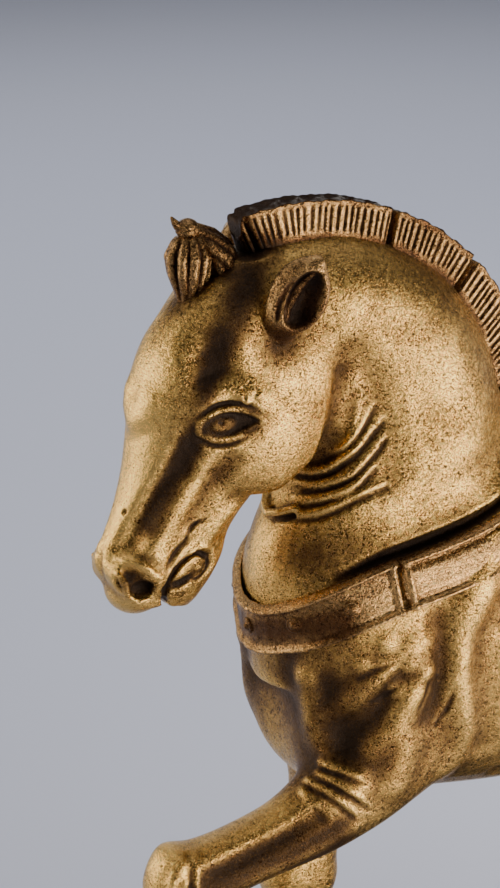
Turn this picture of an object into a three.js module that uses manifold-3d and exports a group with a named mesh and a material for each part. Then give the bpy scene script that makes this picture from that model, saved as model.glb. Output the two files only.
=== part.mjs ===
// A cast bronze statuette of a walking horse, its left foreleg raised, on a marble plinth.
// The horse faces -X and its left side is towards -Y. Millimetres, +Z up, origin under the middle
// of the plinth. Each section of a casting is written as its front point (x, z), its back point
// (x, z), its half width in Y and the Y of its middle, with z counted from the plinth's top.
import * as THREE from "three";
import { mergeVertices } from "three/addons/utils/BufferGeometryUtils.js";
import Module from "manifold-3d";

const wasm = await Module();
wasm.setup();

// ---- Driving dimensions ----

const GAP = 0.3; // clearance wherever two pieces meet
const PLINTH = { length: 236, width: 100, height: 28, upper: 11, step: 5, bevel: 2.5, arris: 0.8 };
const PAD = { thickness: 1.5, inset: 3 };
const GROUND = PAD.thickness + PLINTH.height + 2 * GAP; // height of the hooves' soles
const WALL = 3.5; // thickness of the hollow castings
const SLEEVE = { wall: 3, half: 8, fit: 0.5 };
const DOWEL = { radius: 2.2, half: 8 };
const PIN = { radius: 1.2, inner: 15.5, outer: 22, middle: [-36, 141], spread: 3.5 };
const STUD = { radius: 2, grip: 9, tail: 4 };
const NUT = { across: 7, height: 3.2 };
const WASHER = { radius: 4.6, thickness: 1 };
const RECESS = { radius: 6, depth: 9 };
const COLLAR = { standOff: 1.2, thickness: 1.1, rim: 0.9, rimWidth: 2, slit: 0.8, split: -48.6 };
const BOSS = { radius: 1.7, height: 1 };
const MANE = { halfWidth: 3.4, root: 2.5, trim: 0.0045 }; // trim is a share of the run
const POWER = { neck: 2.1, torso: 2.5, limb: 2.2, mane: 5 }; // 2 is an ellipse, more is squarer

// ---- Sections of the castings: front x, z, back x, z, half width, middle y ----

const NECK = [
  [-69, 112, 2, 140, 21],
  [-71, 131, -6, 160, 19.5],
  [-69.5, 143, -10, 172, 18.5],
  [-66, 152, -15, 186, 17],
  [-63, 160, -24, 198, 15.5],
  [-64, 170, -36, 206, 14],
  [-68, 180, -50, 211, 12.5],
  [-76, 191, -64, 212, 10.5],
  [-82, 200, -76, 209, 6],
];
const HEAD = [
  [-79, 209, -69, 209, 6],
  [-89, 202, -63, 201, 11.5],
  [-96, 193, -60, 189, 13.5],
  [-99.5, 184, -60, 177, 14],
  [-100.5, 175, -64, 166.5, 12.5],
  [-102, 166, -73, 158.5, 10.5],
  [-104.5, 158.5, -78.5, 151.5, 9],
  [-107.8, 151.5, -80.5, 145, 8.4],
  [-108.8, 147, -84, 139.5, 8],
  [-105, 140, -88.5, 135.5, 6.2],
];
const TORSO = [
  [-66.5, 128, -65, 106, 7],
  [-66, 142, -63.5, 90.5, 15.5],
  [-54, 151, -53, 82, 24],
  [-34, 159, -32, 78.5, 27.5],
  [-10, 162, -10, 75, 28.5],
  [15, 158.5, 15, 74, 30],
  [38, 156.5, 40, 79, 30],
  [58, 159, 62, 86, 29.5],
  [78, 158, 82, 92, 26.5],
  [92, 151, 94, 102, 20],
  [99, 140, 99, 113, 11],
];
const LEFT_FORELEG = [
  [-50, 116, -24, 97, 10, -12],
  [-57, 106, -34, 87, 10.5, -15],
  [-66, 96, -46, 81, 9.2, -16.5],
  [-75, 89.5, -61, 76, 7.8, -16.5],
  [-86, 86.3, -76, 73.3, 7, -16],
  [-95, 85.5, -85, 71.5, 6.8, -16],
  [-103, 86, -88, 70, 7.4, -16],
  [-107, 78, -91, 66.5, 7, -16],
  [-104.5, 69.5, -92.5, 63, 5.6, -16],
  [-99.5, 59, -89.5, 54.5, 4.7, -16],
  [-95.5, 50.5, -85, 45.5, 5, -16],
  [-94, 45.5, -81, 40.5, 5.9, -16],
  [-93.5, 40, -82.5, 35.5, 5.3, -16],
  [-94.5, 35, -79.5, 30.5, 7.3, -16],
  [-95.5, 28, -76.5, 23.5, 9.2, -16],
  [-96, 24, -74.5, 19.5, 9.9, -16],
];
const RIGHT_FORELEG = [
  [-56, 110, -22, 108, 10, 13],
  [-55, 96, -24, 93, 10.5, 15.5],
  [-53, 84, -26, 82, 9.5, 16.5],
  [-50.5, 72, -31, 70, 7.8, 17],
  [-52.5, 61, -37, 60, 6.4, 17],
  [-58.5, 52.5, -39, 52.5, 7.2, 17],
  [-58.5, 45, -39, 46, 7.2, 17],
  [-54.5, 39, -41.5, 38.5, 5.7, 17],
  [-53.5, 31, -43, 30, 4.7, 17],
  [-54, 23.5, -42, 22, 5, 17],
  [-55, 19, -40, 17, 6, 17],
  [-57, 14.5, -43.5, 11.5, 5.5, 17],
  [-60.5, 10.5, -44, 7.5, 7.6, 17],
  [-63.5, 3, -42.5, 2.5, 9.7, 17],
  [-65, 0, -42, 0, 10.3, 17],
];
const LEFT_HIND_LEG = [
  [50, 124, 97, 130, 12, -13],
  [45, 106, 97, 113, 13, -14],
  [47, 93, 94, 98, 11.5, -14.5],
  [54, 81, 88, 85, 9.2, -15],
  [60, 71, 83, 75, 7.2, -15],
  [64, 63, 82, 67, 5.9, -15],
  [65, 56, 83.5, 61, 6.1, -15],
  [62.5, 48.5, 78, 51, 5.9, -15],
  [58.5, 39, 71, 41.5, 4.9, -15],
  [53.5, 28, 65, 30, 4.8, -15],
  [50, 20.5, 63.5, 19.5, 6, -15],
  [46.5, 15, 59, 12, 5.4, -15],
  [42, 10.5, 57.5, 7.5, 7.5, -15],
  [38.5, 3, 58, 2.5, 9.6, -15],
  [36.5, 0, 58.5, 0, 10.2, -15],
];
const HIND_STRIDE = [2, 6, 11, 15, 18, 19.5, 20.5, 23, 27, 31, 32.5, 33, 33.5, 34, 34.5];
const RIGHT_HIND_LEG = LEFT_HIND_LEG.map(([fx, fz, bx, bz, half, y], row) => [
  fx + HIND_STRIDE[row],
  fz,
  Math.min(bx + HIND_STRIDE[row], 104),
  bz,
  half,
  -y,
]);
const TAIL = [
  [84, 154, 83, 143, 5],
  [93, 157, 89, 146, 5.6],
  [103, 153, 95, 143, 6.6],
  [111, 141, 98, 136, 8],
  [114, 125, 98.5, 123, 8.2],
  [113, 109, 99.5, 109, 6.6],
  [114.5, 101, 97, 101, 8.6],
  [112, 93, 98.5, 93, 6.8],
  [113, 81, 97.5, 81, 7.6],
  [112, 67, 98, 68, 6.4],
  [108, 55, 99.5, 56, 4],
  [104.5, 47, 101.5, 47.5, 1.5],
];
// The mane's four lengths: its top edge above, and the crest of the neck that it grows from.
const MANE_TOP = [
  [-76, 214],
  [-74.5, 218.5],
  [-61, 219.8],
  [-48.5, 218.5],
  [-38, 215.2],
  [-28, 210.4],
  [-17.5, 202.4],
  [-10, 193.4],
  [-4, 182],
  [0, 171],
  [3, 163],
];
const MANE_ROOT = [
  [-74, 208.5],
  [-71, 210],
  [-61, 212],
  [-50, 210.6],
  [-40, 207.6],
  [-31.5, 203],
  [-22.8, 196.3],
  [-16.3, 187],
  [-12, 176],
  [-8, 166],
  [-5, 159],
];
const MANE_JOINTS = [0, 0.4, 0.61, 0.86, 1]; // where the mane's lengths meet, as shares of its run

// Where each leg's casting is joined to the body: a point of the seam and the leg's own direction.
const LEG_SEAMS = {
  left_foreleg: { point: [-66.5, -16.5, 87.5], axis: [-0.94, 0, -0.34], sections: LEFT_FORELEG },
  right_foreleg: { point: [-42, 16.5, 79], axis: [0, 0, -1], sections: RIGHT_FORELEG },
  left_hind_leg: { point: [71, -15, 84], axis: [0, 0, -1], sections: LEFT_HIND_LEG },
  right_hind_leg: { point: [86, 15, 84], axis: [0, 0, -1], sections: RIGHT_HIND_LEG },
};
const PLANTED = {
  right_foreleg: [-53, 17],
  left_hind_leg: [47.5, -15],
  right_hind_leg: [82, 15],
};

// The neck casting meets the body casting in one sloping plane under the collar.
const NECK_SEAM = { point: [-33.5, 0, 142], slope: THREE.MathUtils.degToRad(22.6) };

// The collar's middle line seen from the side, and its half height along the run.
const COLLAR_LINE = [
  [-76, 123.5],
  [-72, 126],
  [-67, 130],
  [-60, 134],
  [-50, 138],
  [-36, 141],
  [-22, 144.5],
  [-10, 149.5],
  [0, 155.5],
  [9, 162.5],
];
const COLLAR_HALF = 5.8;
const BOSSES = [
  { name: "collar_boss_front", point: [-72.8, 0, 125.5], azimuth: 180 },
  { name: "collar_boss_left_1", point: [-68.5, -12.7, 129.5], azimuth: 211 },
  { name: "collar_boss_left_2", point: [-59, -20.8, 134.4], azimuth: 239 },
  { name: "collar_boss_right_1", point: [-68.5, 12.7, 129.5], azimuth: 149 },
  { name: "collar_boss_right_2", point: [-59, 20.8, 134.4], azimuth: 121 },
];

// ---- Materials ----

const BRONZE = { color: 0xb08a4c, roughness: 0.42, metalness: 1 };
const DARK_BRONZE = { color: 0x8a683a, roughness: 0.5, metalness: 1 };
const BRASS = { color: 0xb5924f, roughness: 0.35, metalness: 1 };
const STEEL = { color: 0x8d9196, roughness: 0.4, metalness: 1 };
const MARBLE = { color: 0x15151a, roughness: 0.2, metalness: 0 };
const BAIZE = { color: 0x24402d, roughness: 0.95, metalness: 0 };

// ---- Solids ----

function solidOf(geometry) {
  geometry.deleteAttribute("normal");
  geometry.deleteAttribute("uv");
  const merged = mergeVertices(geometry, 1e-4);
  const vertProperties = merged.attributes.position.array;
  const triVerts = new Uint32Array(merged.index.array);
  const made = new wasm.Manifold(new wasm.Mesh({ numProp: 3, vertProperties, triVerts }));
  if (made.volume() > 0) return made;
  return new wasm.Manifold(new wasm.Mesh({ numProp: 3, vertProperties, triVerts: triVerts.reverse() }));
}

function joined(solids) {
  return solids.reduce((sum, solid) => sum.add(solid));
}

function geometryOf(solid) {
  const { numProp, vertProperties, triVerts } = solid.getMesh();
  const geometry = new THREE.BufferGeometry();
  const positions = new THREE.InterleavedBuffer(vertProperties, numProp);
  geometry.setAttribute("position", new THREE.InterleavedBufferAttribute(positions, 3, 0));
  geometry.setIndex(new THREE.BufferAttribute(triVerts, 1));
  const plain = geometry.toNonIndexed();
  plain.computeVertexNormals();
  return plain;
}

// A closed skin through the sections, made by bending a cylinder's rows onto them.
function loft(sections, { around = 16, perSection = 1, power = POWER.limb, grow = 0 } = {}) {
  const curveOf = (pick) => new THREE.CatmullRomCurve3(sections.map(pick));
  const front = curveOf(([x, z]) => new THREE.Vector3(x, 0, z));
  const back = curveOf(([, , x, z]) => new THREE.Vector3(x, 0, z));
  const sides = curveOf(([, , , , half, y = 0]) => new THREE.Vector3(half, y, 0));
  const rows = perSection * (sections.length - 1);
  const geometry = new THREE.CylinderGeometry(1, 1, 1, around, rows);
  const position = geometry.getAttribute("position");
  const snap = (value) => Math.round(value * 1e6) / 1e6; // so that the seam's two copies agree
  const bulge = (value) => Math.sign(value) * Math.abs(snap(value)) ** (2 / power);
  for (let i = 0; i < position.count; i++) {
    const share = THREE.MathUtils.clamp(snap(position.getY(i) + 0.5), 0, 1);
    const from = back.getPoint(share);
    const reach = front.getPoint(share).sub(from).multiplyScalar(0.5);
    const side = sides.getPoint(share);
    const middle = from.add(reach);
    reach.setLength(reach.length() + grow);
    const forward = bulge(position.getX(i));
    const across = bulge(position.getZ(i)) * (side.x + grow);
    position.setXYZ(i, middle.x + reach.x * forward, side.y + across, middle.z + reach.z * forward);
  }
  return solidOf(geometry);
}

const neck = (grow = 0) => loft(NECK, { around: 20, perSection: 2, power: POWER.neck, grow });
const head = (grow = 0) => loft(HEAD, { around: 20, perSection: 2, grow });
const torso = (grow = 0) => loft(TORSO, { around: 24, power: POWER.torso, grow });

function placed(geometry, point, { axis, turn = [0, 0, 0], scale = [1, 1, 1] } = {}) {
  const rotation = new THREE.Quaternion().setFromEuler(new THREE.Euler(...turn));
  if (axis) rotation.setFromUnitVectors(new THREE.Vector3(0, 1, 0), new THREE.Vector3(...axis).normalize());
  const matrix = new THREE.Matrix4().compose(
    new THREE.Vector3(...point),
    rotation,
    new THREE.Vector3(...scale),
  );
  return solidOf(geometry.applyMatrix4(matrix));
}

function rod(radius, length, point, axis = [0, 0, 1], around = 12) {
  return placed(new THREE.CylinderGeometry(radius, radius, length, around), point, { axis });
}

function ball(point, scale, turn = [0, 0, 0]) {
  return placed(new THREE.SphereGeometry(1, 12, 8), point, { scale, turn });
}

// Everything on the far side of a plane: a big box whose near face lies in it.
function beyond(point, axis, start = 0) {
  const size = 400;
  const direction = new THREE.Vector3(...axis).normalize();
  const centre = new THREE.Vector3(...point).addScaledVector(direction, start + size / 2);
  return placed(new THREE.BoxGeometry(size, size, size), centre.toArray(), { axis });
}

// A sheet across the whole width, between two lines seen from the side.
function sideOutline(upper, lower, width = 90) {
  const outline = [...upper, ...[...lower].reverse()].map(([x, z]) => new THREE.Vector2(x, z));
  const depthOnly = { depth: width, bevelEnabled: false };
  const geometry = new THREE.ExtrudeGeometry(new THREE.Shape(outline), depthOnly);
  return placed(geometry, [0, width / 2, 0], { turn: [Math.PI / 2, 0, 0] });
}

// ---- The castings ----

// The head's features, as ellipsoids on the middle or on both sides: centre, radii, pitch.
const RAISED = [
  { centre: [-85.4, 11.2, 178.4], radii: [4.4, 3, 3] }, // eye
  { centre: [-83, 11.2, 184.4], radii: [5.4, 3, 2.4], pitch: 0.35 }, // brow
  { centre: [-72.6, 9.6, 176.5], radii: [14, 5.4, 16.5], pitch: 0.31 }, // cheek
  { centre: [-102.6, 4.8, 145.8], radii: [5.2, 4.2, 4.9] }, // wing of the nostril
  { centre: [-101, 0, 140.3], radii: [5.6, 6.8, 4.8] }, // upper lip
  { centre: [-90.8, 0, 139.6], radii: [4.8, 5.6, 4.6] }, // lower lip
];
const SUNK = [
  { centre: [-104.6, 9.7, 145], radii: [4.8, 2.8, 3.4] }, // nostril
  { centre: [-93, 13.4, 167], radii: [3, 2.6, 9], pitch: 0.45 }, // hollow of the face
];
const MOUTH = { size: [15, 30, 1.1], centre: [-97, 0, 139.5], pitch: -0.42 };

function features(list) {
  return list.flatMap(({ centre: [x, y, z], radii, pitch = 0 }) =>
    (y ? [-y, y] : [0]).map((across) => ball([x, across, z], radii, [0, pitch, 0])),
  );
}

function detailedHead() {
  const mouth = placed(new THREE.BoxGeometry(...MOUTH.size), MOUTH.centre, { turn: [0, MOUTH.pitch, 0] });
  return joined([head(), ...features(RAISED)]).subtract(joined(features(SUNK))).subtract(mouth);
}

const legTops = Object.values(LEG_SEAMS).map(({ sections }) => loft(sections));
const outside = joined([detailedHead(), neck(), torso(), ...legTops]);

// The inside of the hollow castings, drawn in by a distance from the outside and plainer than it.
function inside(depth) {
  const core = { around: 12, grow: -depth };
  const behindBreast = beyond([TORSO.at(0)[0] + depth, 0, 0], [1, 0, 0]);
  const beforeRump = beyond([TORSO.at(-1)[0] - depth, 0, 0], [-1, 0, 0]);
  const barrel = loft(TORSO, { ...core, power: POWER.torso }).intersect(behindBreast).intersect(beforeRump);
  return loft(NECK, { ...core, power: POWER.neck }).add(barrel);
}

const upNeck = [-Math.sin(NECK_SEAM.slope), 0, Math.cos(NECK_SEAM.slope)];
const downNeck = upNeck.map((value) => -value);
const shell = outside.subtract(inside(WALL));

const dowels = Object.fromEntries(
  Object.entries(LEG_SEAMS).map(([leg, { point, axis }]) => [leg, { point, axis }]),
);
dowels.tail = { point: [88, 0, 149.5], axis: [0.9, 0, 0.3] };

function dowel(name, clearance = 0) {
  const { point, axis } = dowels[name];
  return rod(DOWEL.radius + clearance, 2 * (DOWEL.half + clearance), point, axis);
}

const pins = [-1, 1].flatMap((side) =>
  [-1, 1].map((end) => ({
    name: `neck_pin_${end > 0 ? "upper" : "lower"}_${side < 0 ? "left" : "right"}`,
    point: [
      PIN.middle[0] - PIN.spread * end * Math.sin(NECK_SEAM.slope),
      side,
      PIN.middle[1] + PIN.spread * end,
    ],
    side,
  })),
);

function pin({ point: [x, , z], side }, clearance = 0) {
  const middle = (side * (PIN.inner + PIN.outer)) / 2;
  const length = PIN.outer - PIN.inner + 2 * clearance;
  return rod(PIN.radius + clearance, length, [x, middle, z], [0, 1, 0]);
}

const pinHoles = joined(pins.map((each) => pin(each, GAP)));

function neckCasting() {
  return shell.subtract(beyond(NECK_SEAM.point, downNeck, -GAP / 2)).subtract(pinHoles);
}

function bodyCasting() {
  const legs = Object.values(LEG_SEAMS).map(({ point, axis, sections }) =>
    loft(sections, { grow: 1 }).intersect(beyond(point, axis, -GAP)),
  );
  const holes = Object.keys(dowels).map((name) => dowel(name, GAP));
  return shell
    .subtract(beyond(NECK_SEAM.point, upNeck, -GAP / 2))
    .subtract(joined([...legs, ...holes, pinHoles]));
}

function leg(name) {
  const { point, axis, sections } = LEG_SEAMS[name];
  const whole = loft(sections).intersect(beyond(point, axis)).subtract(dowel(name, GAP));
  if (!(name in PLANTED)) return whole;
  return whole.subtract(stud(name, GAP));
}

function neckSleeve() {
  const slab = beyond(NECK_SEAM.point, downNeck, -SLEEVE.half).intersect(
    beyond(NECK_SEAM.point, upNeck, -SLEEVE.half),
  );
  const ring = inside(WALL + SLEEVE.fit).subtract(inside(WALL + SLEEVE.fit + SLEEVE.wall));
  return ring.intersect(slab).subtract(pinHoles);
}

function tail() {
  return loft(TAIL).subtract(torso(GAP)).subtract(dowel("tail", GAP));
}

// ---- Mane, forelock and ears ----

const scalp = joined([neck(GAP), head(GAP), torso(GAP)]);

function maneLength(from, to) {
  const top = new THREE.CatmullRomCurve3(MANE_TOP.map(([x, z]) => new THREE.Vector3(x, 0, z)));
  const root = new THREE.CatmullRomCurve3(MANE_ROOT.map(([x, z]) => new THREE.Vector3(x, 0, z)));
  const steps = 1 + Math.ceil((to - from) * 12);
  const sections = Array.from({ length: steps + 1 }, (_, step) => {
    const share = from + ((to - from) * step) / steps;
    const high = top.getPoint(share);
    const low = root.getPoint(share);
    low.addScaledVector(high.clone().sub(low).normalize(), -MANE.root);
    return [high.x, high.z, low.x, low.z, MANE.halfWidth];
  });
  const whole = loft(sections, { around: 16, power: POWER.mane });
  return whole.subtract(scalp).subtract(collarBand(-3 * COLLAR_HALF, COLLAR_HALF + GAP));
}

// The right ear is laid further back than the left one.
const EARS = { left: { side: -1, back: 0, drop: 0 }, right: { side: 1, back: 3, drop: 0.8 } };

function ear({ side, back, drop }) {
  const lean = [0.32 * -side, 0.42, 0.5 * side];
  const conch = ball([-69.5 + back, side * 13.5, 204 - drop], [5.6, 3.8, 10], lean);
  const bowl = ball([-70.8 + back, side * 17, 205.6 - drop], [3.6, 3.6, 7.2], lean);
  return conch.subtract(bowl).subtract(scalp);
}

function forelockTuft() {
  const profile = [
    [0, 0],
    [3.4, 0.5],
    [2.8, 3.5],
    [4.6, 9],
    [4.4, 12],
    [2.2, 14],
    [0, 14.2],
  ].map(([radius, height]) => new THREE.Vector2(radius, height));
  const tuft = placed(new THREE.LatheGeometry(profile, 14), [-86.3, 0, 200.5], {
    axis: [-0.08, 0, 1],
  });
  return tuft.subtract(scalp);
}

function forelockLock() {
  const lock = loft(
    [
      [-83.5, 206, -79, 201, 3],
      [-81, 211, -75.5, 206, 3.6],
      [-77, 209.5, -71.5, 205, 2.6],
      [-73, 206, -70.5, 203.5, 1.4],
    ],
    { around: 12 },
  );
  return lock.subtract(scalp).subtract(forelockClearance()).subtract(maneClearance());
}

function forelockClearance() {
  return rod(5, 40, [-86.3, 0, 204], [-0.08, 0, 1], 14);
}

function maneClearance() {
  return beyond([-76.6, 0, 214], [1, 0, 0.5]).intersect(beyond([0, 0, 207.2], [0, 0, 1]));
}

// ---- The collar ----

// The skin that the collar is shaped over: it stands off the neck and lies on the shoulders.
function collarFormer(depth) {
  return neck(COLLAR.standOff + depth).add(torso(GAP + depth));
}

function collarBand(low, high) {
  const shifted = (rise) => COLLAR_LINE.map(([x, z]) => [x, z + rise]);
  return sideOutline(shifted(high), shifted(low));
}

function collar() {
  const { thickness, rim, rimWidth } = COLLAR;
  const band = collarFormer(thickness).intersect(collarBand(-COLLAR_HALF, COLLAR_HALF));
  const rims = collarFormer(thickness + rim).intersect(
    collarBand(-COLLAR_HALF, rimWidth - COLLAR_HALF).add(
      collarBand(COLLAR_HALF - rimWidth, COLLAR_HALF),
    ),
  );
  const clear = joined([outside, neck(GAP), collarFormer(0)]);
  return band.add(rims).subtract(clear).subtract(pinHoles);
}

function collarPart(direction) {
  return collar().intersect(beyond([COLLAR.split, 0, 0], [direction, 0, 0], COLLAR.slit / 2));
}

function boss({ point, azimuth }) {
  const angle = THREE.MathUtils.degToRad(azimuth);
  const outward = [Math.cos(angle), Math.sin(angle), 0];
  const base = COLLAR.thickness + GAP;
  const skin = collarFormer(base + BOSS.height).subtract(collarFormer(base));
  return rod(BOSS.radius, 14, point, outward).intersect(skin);
}

// ---- Plinth and fixings, with z counted from the plinth's top ----

function bevelledSlab(length, width, bottom, top, bevel) {
  const corners = [[-1, -1], [1, -1], [1, 1], [-1, 1]];
  const outline = corners.map(([x, y]) => new THREE.Vector2((x * length) / 2, (y * width) / 2));
  const geometry = new THREE.ExtrudeGeometry(new THREE.Shape(outline), {
    depth: top - bottom - 2 * bevel,
    bevelSize: bevel,
    bevelThickness: bevel,
    bevelOffset: -bevel,
    bevelSegments: 3,
  });
  return placed(geometry, [0, 0, bottom + bevel]);
}

function plinth() {
  const { length, width, height, upper, step, bevel, arris } = PLINTH;
  const top = -GAP;
  const shelf = top - upper;
  const floor = top - height;
  const slabs = bevelledSlab(length, width, floor, shelf, arris).add(
    bevelledSlab(length - 2 * step, width - 2 * step, shelf - bevel, top, bevel),
  );
  const holes = Object.entries(PLANTED).flatMap(([name, [x, y]]) => [
    stud(name, GAP),
    rod(RECESS.radius, 2 * RECESS.depth, [x, y, floor], [0, 0, 1], 24),
  ]);
  return slabs.subtract(joined(holes));
}

function stud(name, clearance = 0) {
  const [x, y] = PLANTED[name];
  const bottom = STUD.tail - GROUND;
  return rod(STUD.radius + clearance, STUD.grip - bottom + 2 * clearance, [x, y, (STUD.grip + bottom) / 2]);
}

function washer(name) {
  const [x, y] = PLANTED[name];
  const top = -GAP - PLINTH.height + RECESS.depth - GAP;
  const disc = rod(WASHER.radius, WASHER.thickness, [x, y, top - WASHER.thickness / 2], [0, 0, 1], 24);
  return disc.subtract(stud(name, GAP));
}

function nut(name) {
  const [x, y] = PLANTED[name];
  const top = -GAP - PLINTH.height + RECESS.depth - 2 * GAP - WASHER.thickness;
  const radius = NUT.across / Math.sqrt(3);
  const hexagon = rod(radius, NUT.height, [x, y, top - NUT.height / 2], [0, 0, 1], 6);
  return hexagon.subtract(stud(name, GAP));
}

function pad() {
  const { thickness, inset } = PAD;
  const geometry = new THREE.BoxGeometry(PLINTH.length - 2 * inset, PLINTH.width - 2 * inset, thickness);
  return placed(geometry, [0, 0, thickness / 2 - GROUND]);
}

// ---- Assembly ----

const statuette = new THREE.Group();
statuette.position.z = GROUND;

function addPiece(name, solid, material) {
  const mesh = new THREE.Mesh(geometryOf(solid), new THREE.MeshStandardMaterial(material));
  mesh.name = name;
  statuette.add(mesh);
}

addPiece("plinth", plinth(), MARBLE);
addPiece("baize_pad", pad(), BAIZE);
addPiece("body_casting", bodyCasting(), BRONZE);
addPiece("head_and_neck_casting", neckCasting(), BRONZE);
addPiece("neck_sleeve", neckSleeve(), BRASS);
pins.forEach((each) => addPiece(each.name, pin(each), BRASS));
Object.keys(LEG_SEAMS).forEach((name) => addPiece(name, leg(name), BRONZE));
addPiece("tail", tail(), BRONZE);
Object.keys(dowels).forEach((name) => addPiece(`${name}_dowel`, dowel(name), BRASS));
MANE_JOINTS.slice(1).forEach((end, i) => {
  const start = MANE_JOINTS[i] + (i ? MANE.trim : 0);
  addPiece(`mane_length_${i + 1}`, maneLength(start, end - (end < 1 ? MANE.trim : 0)), DARK_BRONZE);
});
Object.entries(EARS).forEach(([word, placing]) => addPiece(`ear_${word}`, ear(placing), BRONZE));
addPiece("forelock_tuft", forelockTuft(), DARK_BRONZE);
addPiece("forelock_knot", ball([-87.4, 0, 216.3], [2.2, 2, 1.4]), DARK_BRONZE);
addPiece("forelock_lock", forelockLock(), DARK_BRONZE);
addPiece("collar_front_band", collarPart(-1), DARK_BRONZE);
addPiece("collar_rear_strap", collarPart(1), DARK_BRONZE);
BOSSES.forEach((each) => addPiece(each.name, boss(each), BRONZE));
Object.keys(PLANTED).forEach((name) => {
  addPiece(`${name}_stud`, stud(name), STEEL);
  addPiece(`${name}_washer`, washer(name), STEEL);
  addPiece(`${name}_nut`, nut(name), STEEL);
});

export default statuette;
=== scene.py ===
import math

import bpy
import numpy as np
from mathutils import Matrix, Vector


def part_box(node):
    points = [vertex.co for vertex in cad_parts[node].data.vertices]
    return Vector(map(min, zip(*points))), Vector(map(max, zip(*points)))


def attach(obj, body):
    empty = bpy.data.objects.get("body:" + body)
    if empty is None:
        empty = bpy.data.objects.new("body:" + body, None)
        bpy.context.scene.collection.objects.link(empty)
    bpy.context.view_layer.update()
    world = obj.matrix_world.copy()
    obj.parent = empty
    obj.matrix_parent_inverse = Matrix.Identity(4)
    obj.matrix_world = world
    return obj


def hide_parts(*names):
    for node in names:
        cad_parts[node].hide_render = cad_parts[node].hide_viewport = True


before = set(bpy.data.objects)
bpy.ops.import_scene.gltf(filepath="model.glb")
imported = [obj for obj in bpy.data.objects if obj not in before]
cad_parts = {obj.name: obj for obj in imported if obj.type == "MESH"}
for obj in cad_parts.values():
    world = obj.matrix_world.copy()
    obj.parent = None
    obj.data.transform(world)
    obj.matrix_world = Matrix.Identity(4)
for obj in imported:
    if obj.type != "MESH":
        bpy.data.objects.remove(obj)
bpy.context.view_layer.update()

import openvdb
from mathutils import Matrix, Vector

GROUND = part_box("right_foreleg")[0][2] * 1000  # height of the hooves' soles
BAND = 6.0  # how far from a surface its distances are kept
GAP = 0.3  # between the collar and the body
SKIN_GAP = 0.02  # no grid point is nearer than this to a skin, so that no faces are pinched there
CLEAR_Y = 34  # well outside the skin, on either side

# ---- Sections of the castings: front x, z, back x, z, half width, middle y ----

NECK = [
    [-69, 112, 2, 140, 21],
    [-71, 131, -6, 160, 19.5],
    [-69.5, 143, -10, 172, 18.5],
    [-66, 152, -15, 186, 17],
    [-63, 160, -24, 198, 15.5],
    [-64, 170, -36, 206, 14],
    [-68, 180, -50, 211, 12.5],
    [-76, 191, -64, 212, 10.5],
    [-82, 200, -76, 209, 6],
]
HEAD = [
    [-79, 209, -69, 209, 6],
    [-89, 202, -63, 201, 11.5],
    [-96, 193, -60, 189, 13.5],
    [-99.5, 184, -60, 177, 14],
    [-100.5, 175, -64, 166.5, 12.5],
    [-102, 166, -73, 158.5, 10.5],
    [-104.5, 158.5, -78.5, 151.5, 9],
    [-107.8, 151.5, -80.5, 145, 8.4],
    [-108.8, 147, -84, 139.5, 8],
    [-105, 140, -88.5, 135.5, 6.2],
]
TORSO = [
    [-66.5, 128, -65, 106, 7],
    [-66, 142, -63.5, 90.5, 15.5],
    [-54, 151, -53, 82, 24],
    [-34, 159, -32, 78.5, 27.5],
    [-10, 162, -10, 75, 28.5],
    [15, 158.5, 15, 74, 30],
    [38, 156.5, 40, 79, 30],
    [58, 159, 62, 86, 29.5],
    [78, 158, 82, 92, 26.5],
    [92, 151, 94, 102, 20],
    [99, 140, 99, 113, 11],
]
LEFT_FORELEG = [
    [-50, 116, -24, 97, 10, -12],
    [-57, 106, -34, 87, 10.5, -15],
    [-66, 96, -46, 81, 9.2, -16.5],
    [-75, 89.5, -61, 76, 7.8, -16.5],
    [-86, 86.3, -76, 73.3, 7, -16],
    [-95, 85.5, -85, 71.5, 6.8, -16],
    [-103, 86, -88, 70, 7.4, -16],
    [-107, 78, -91, 66.5, 7, -16],
    [-104.5, 69.5, -92.5, 63, 5.6, -16],
    [-99.5, 59, -89.5, 54.5, 4.7, -16],
    [-95.5, 50.5, -85, 45.5, 5, -16],
    [-94, 45.5, -81, 40.5, 5.9, -16],
    [-93.5, 40, -82.5, 35.5, 5.3, -16],
    [-94.5, 35, -79.5, 30.5, 7.3, -16],
    [-95.5, 28, -76.5, 23.5, 9.2, -16],
    [-96, 24, -74.5, 19.5, 9.9, -16],
]
RIGHT_FORELEG = [
    [-56, 110, -22, 108, 10, 13],
    [-55, 96, -24, 93, 10.5, 15.5],
    [-53, 84, -26, 82, 9.5, 16.5],
    [-50.5, 72, -31, 70, 7.8, 17],
    [-52.5, 61, -37, 60, 6.4, 17],
    [-58.5, 52.5, -39, 52.5, 7.2, 17],
    [-58.5, 45, -39, 46, 7.2, 17],
    [-54.5, 39, -41.5, 38.5, 5.7, 17],
    [-53.5, 31, -43, 30, 4.7, 17],
    [-54, 23.5, -42, 22, 5, 17],
    [-55, 19, -40, 17, 6, 17],
    [-57, 14.5, -43.5, 11.5, 5.5, 17],
    [-60.5, 10.5, -44, 7.5, 7.6, 17],
    [-63.5, 3, -42.5, 2.5, 9.7, 17],
    [-65, 0, -42, 0, 10.3, 17],
]
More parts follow.
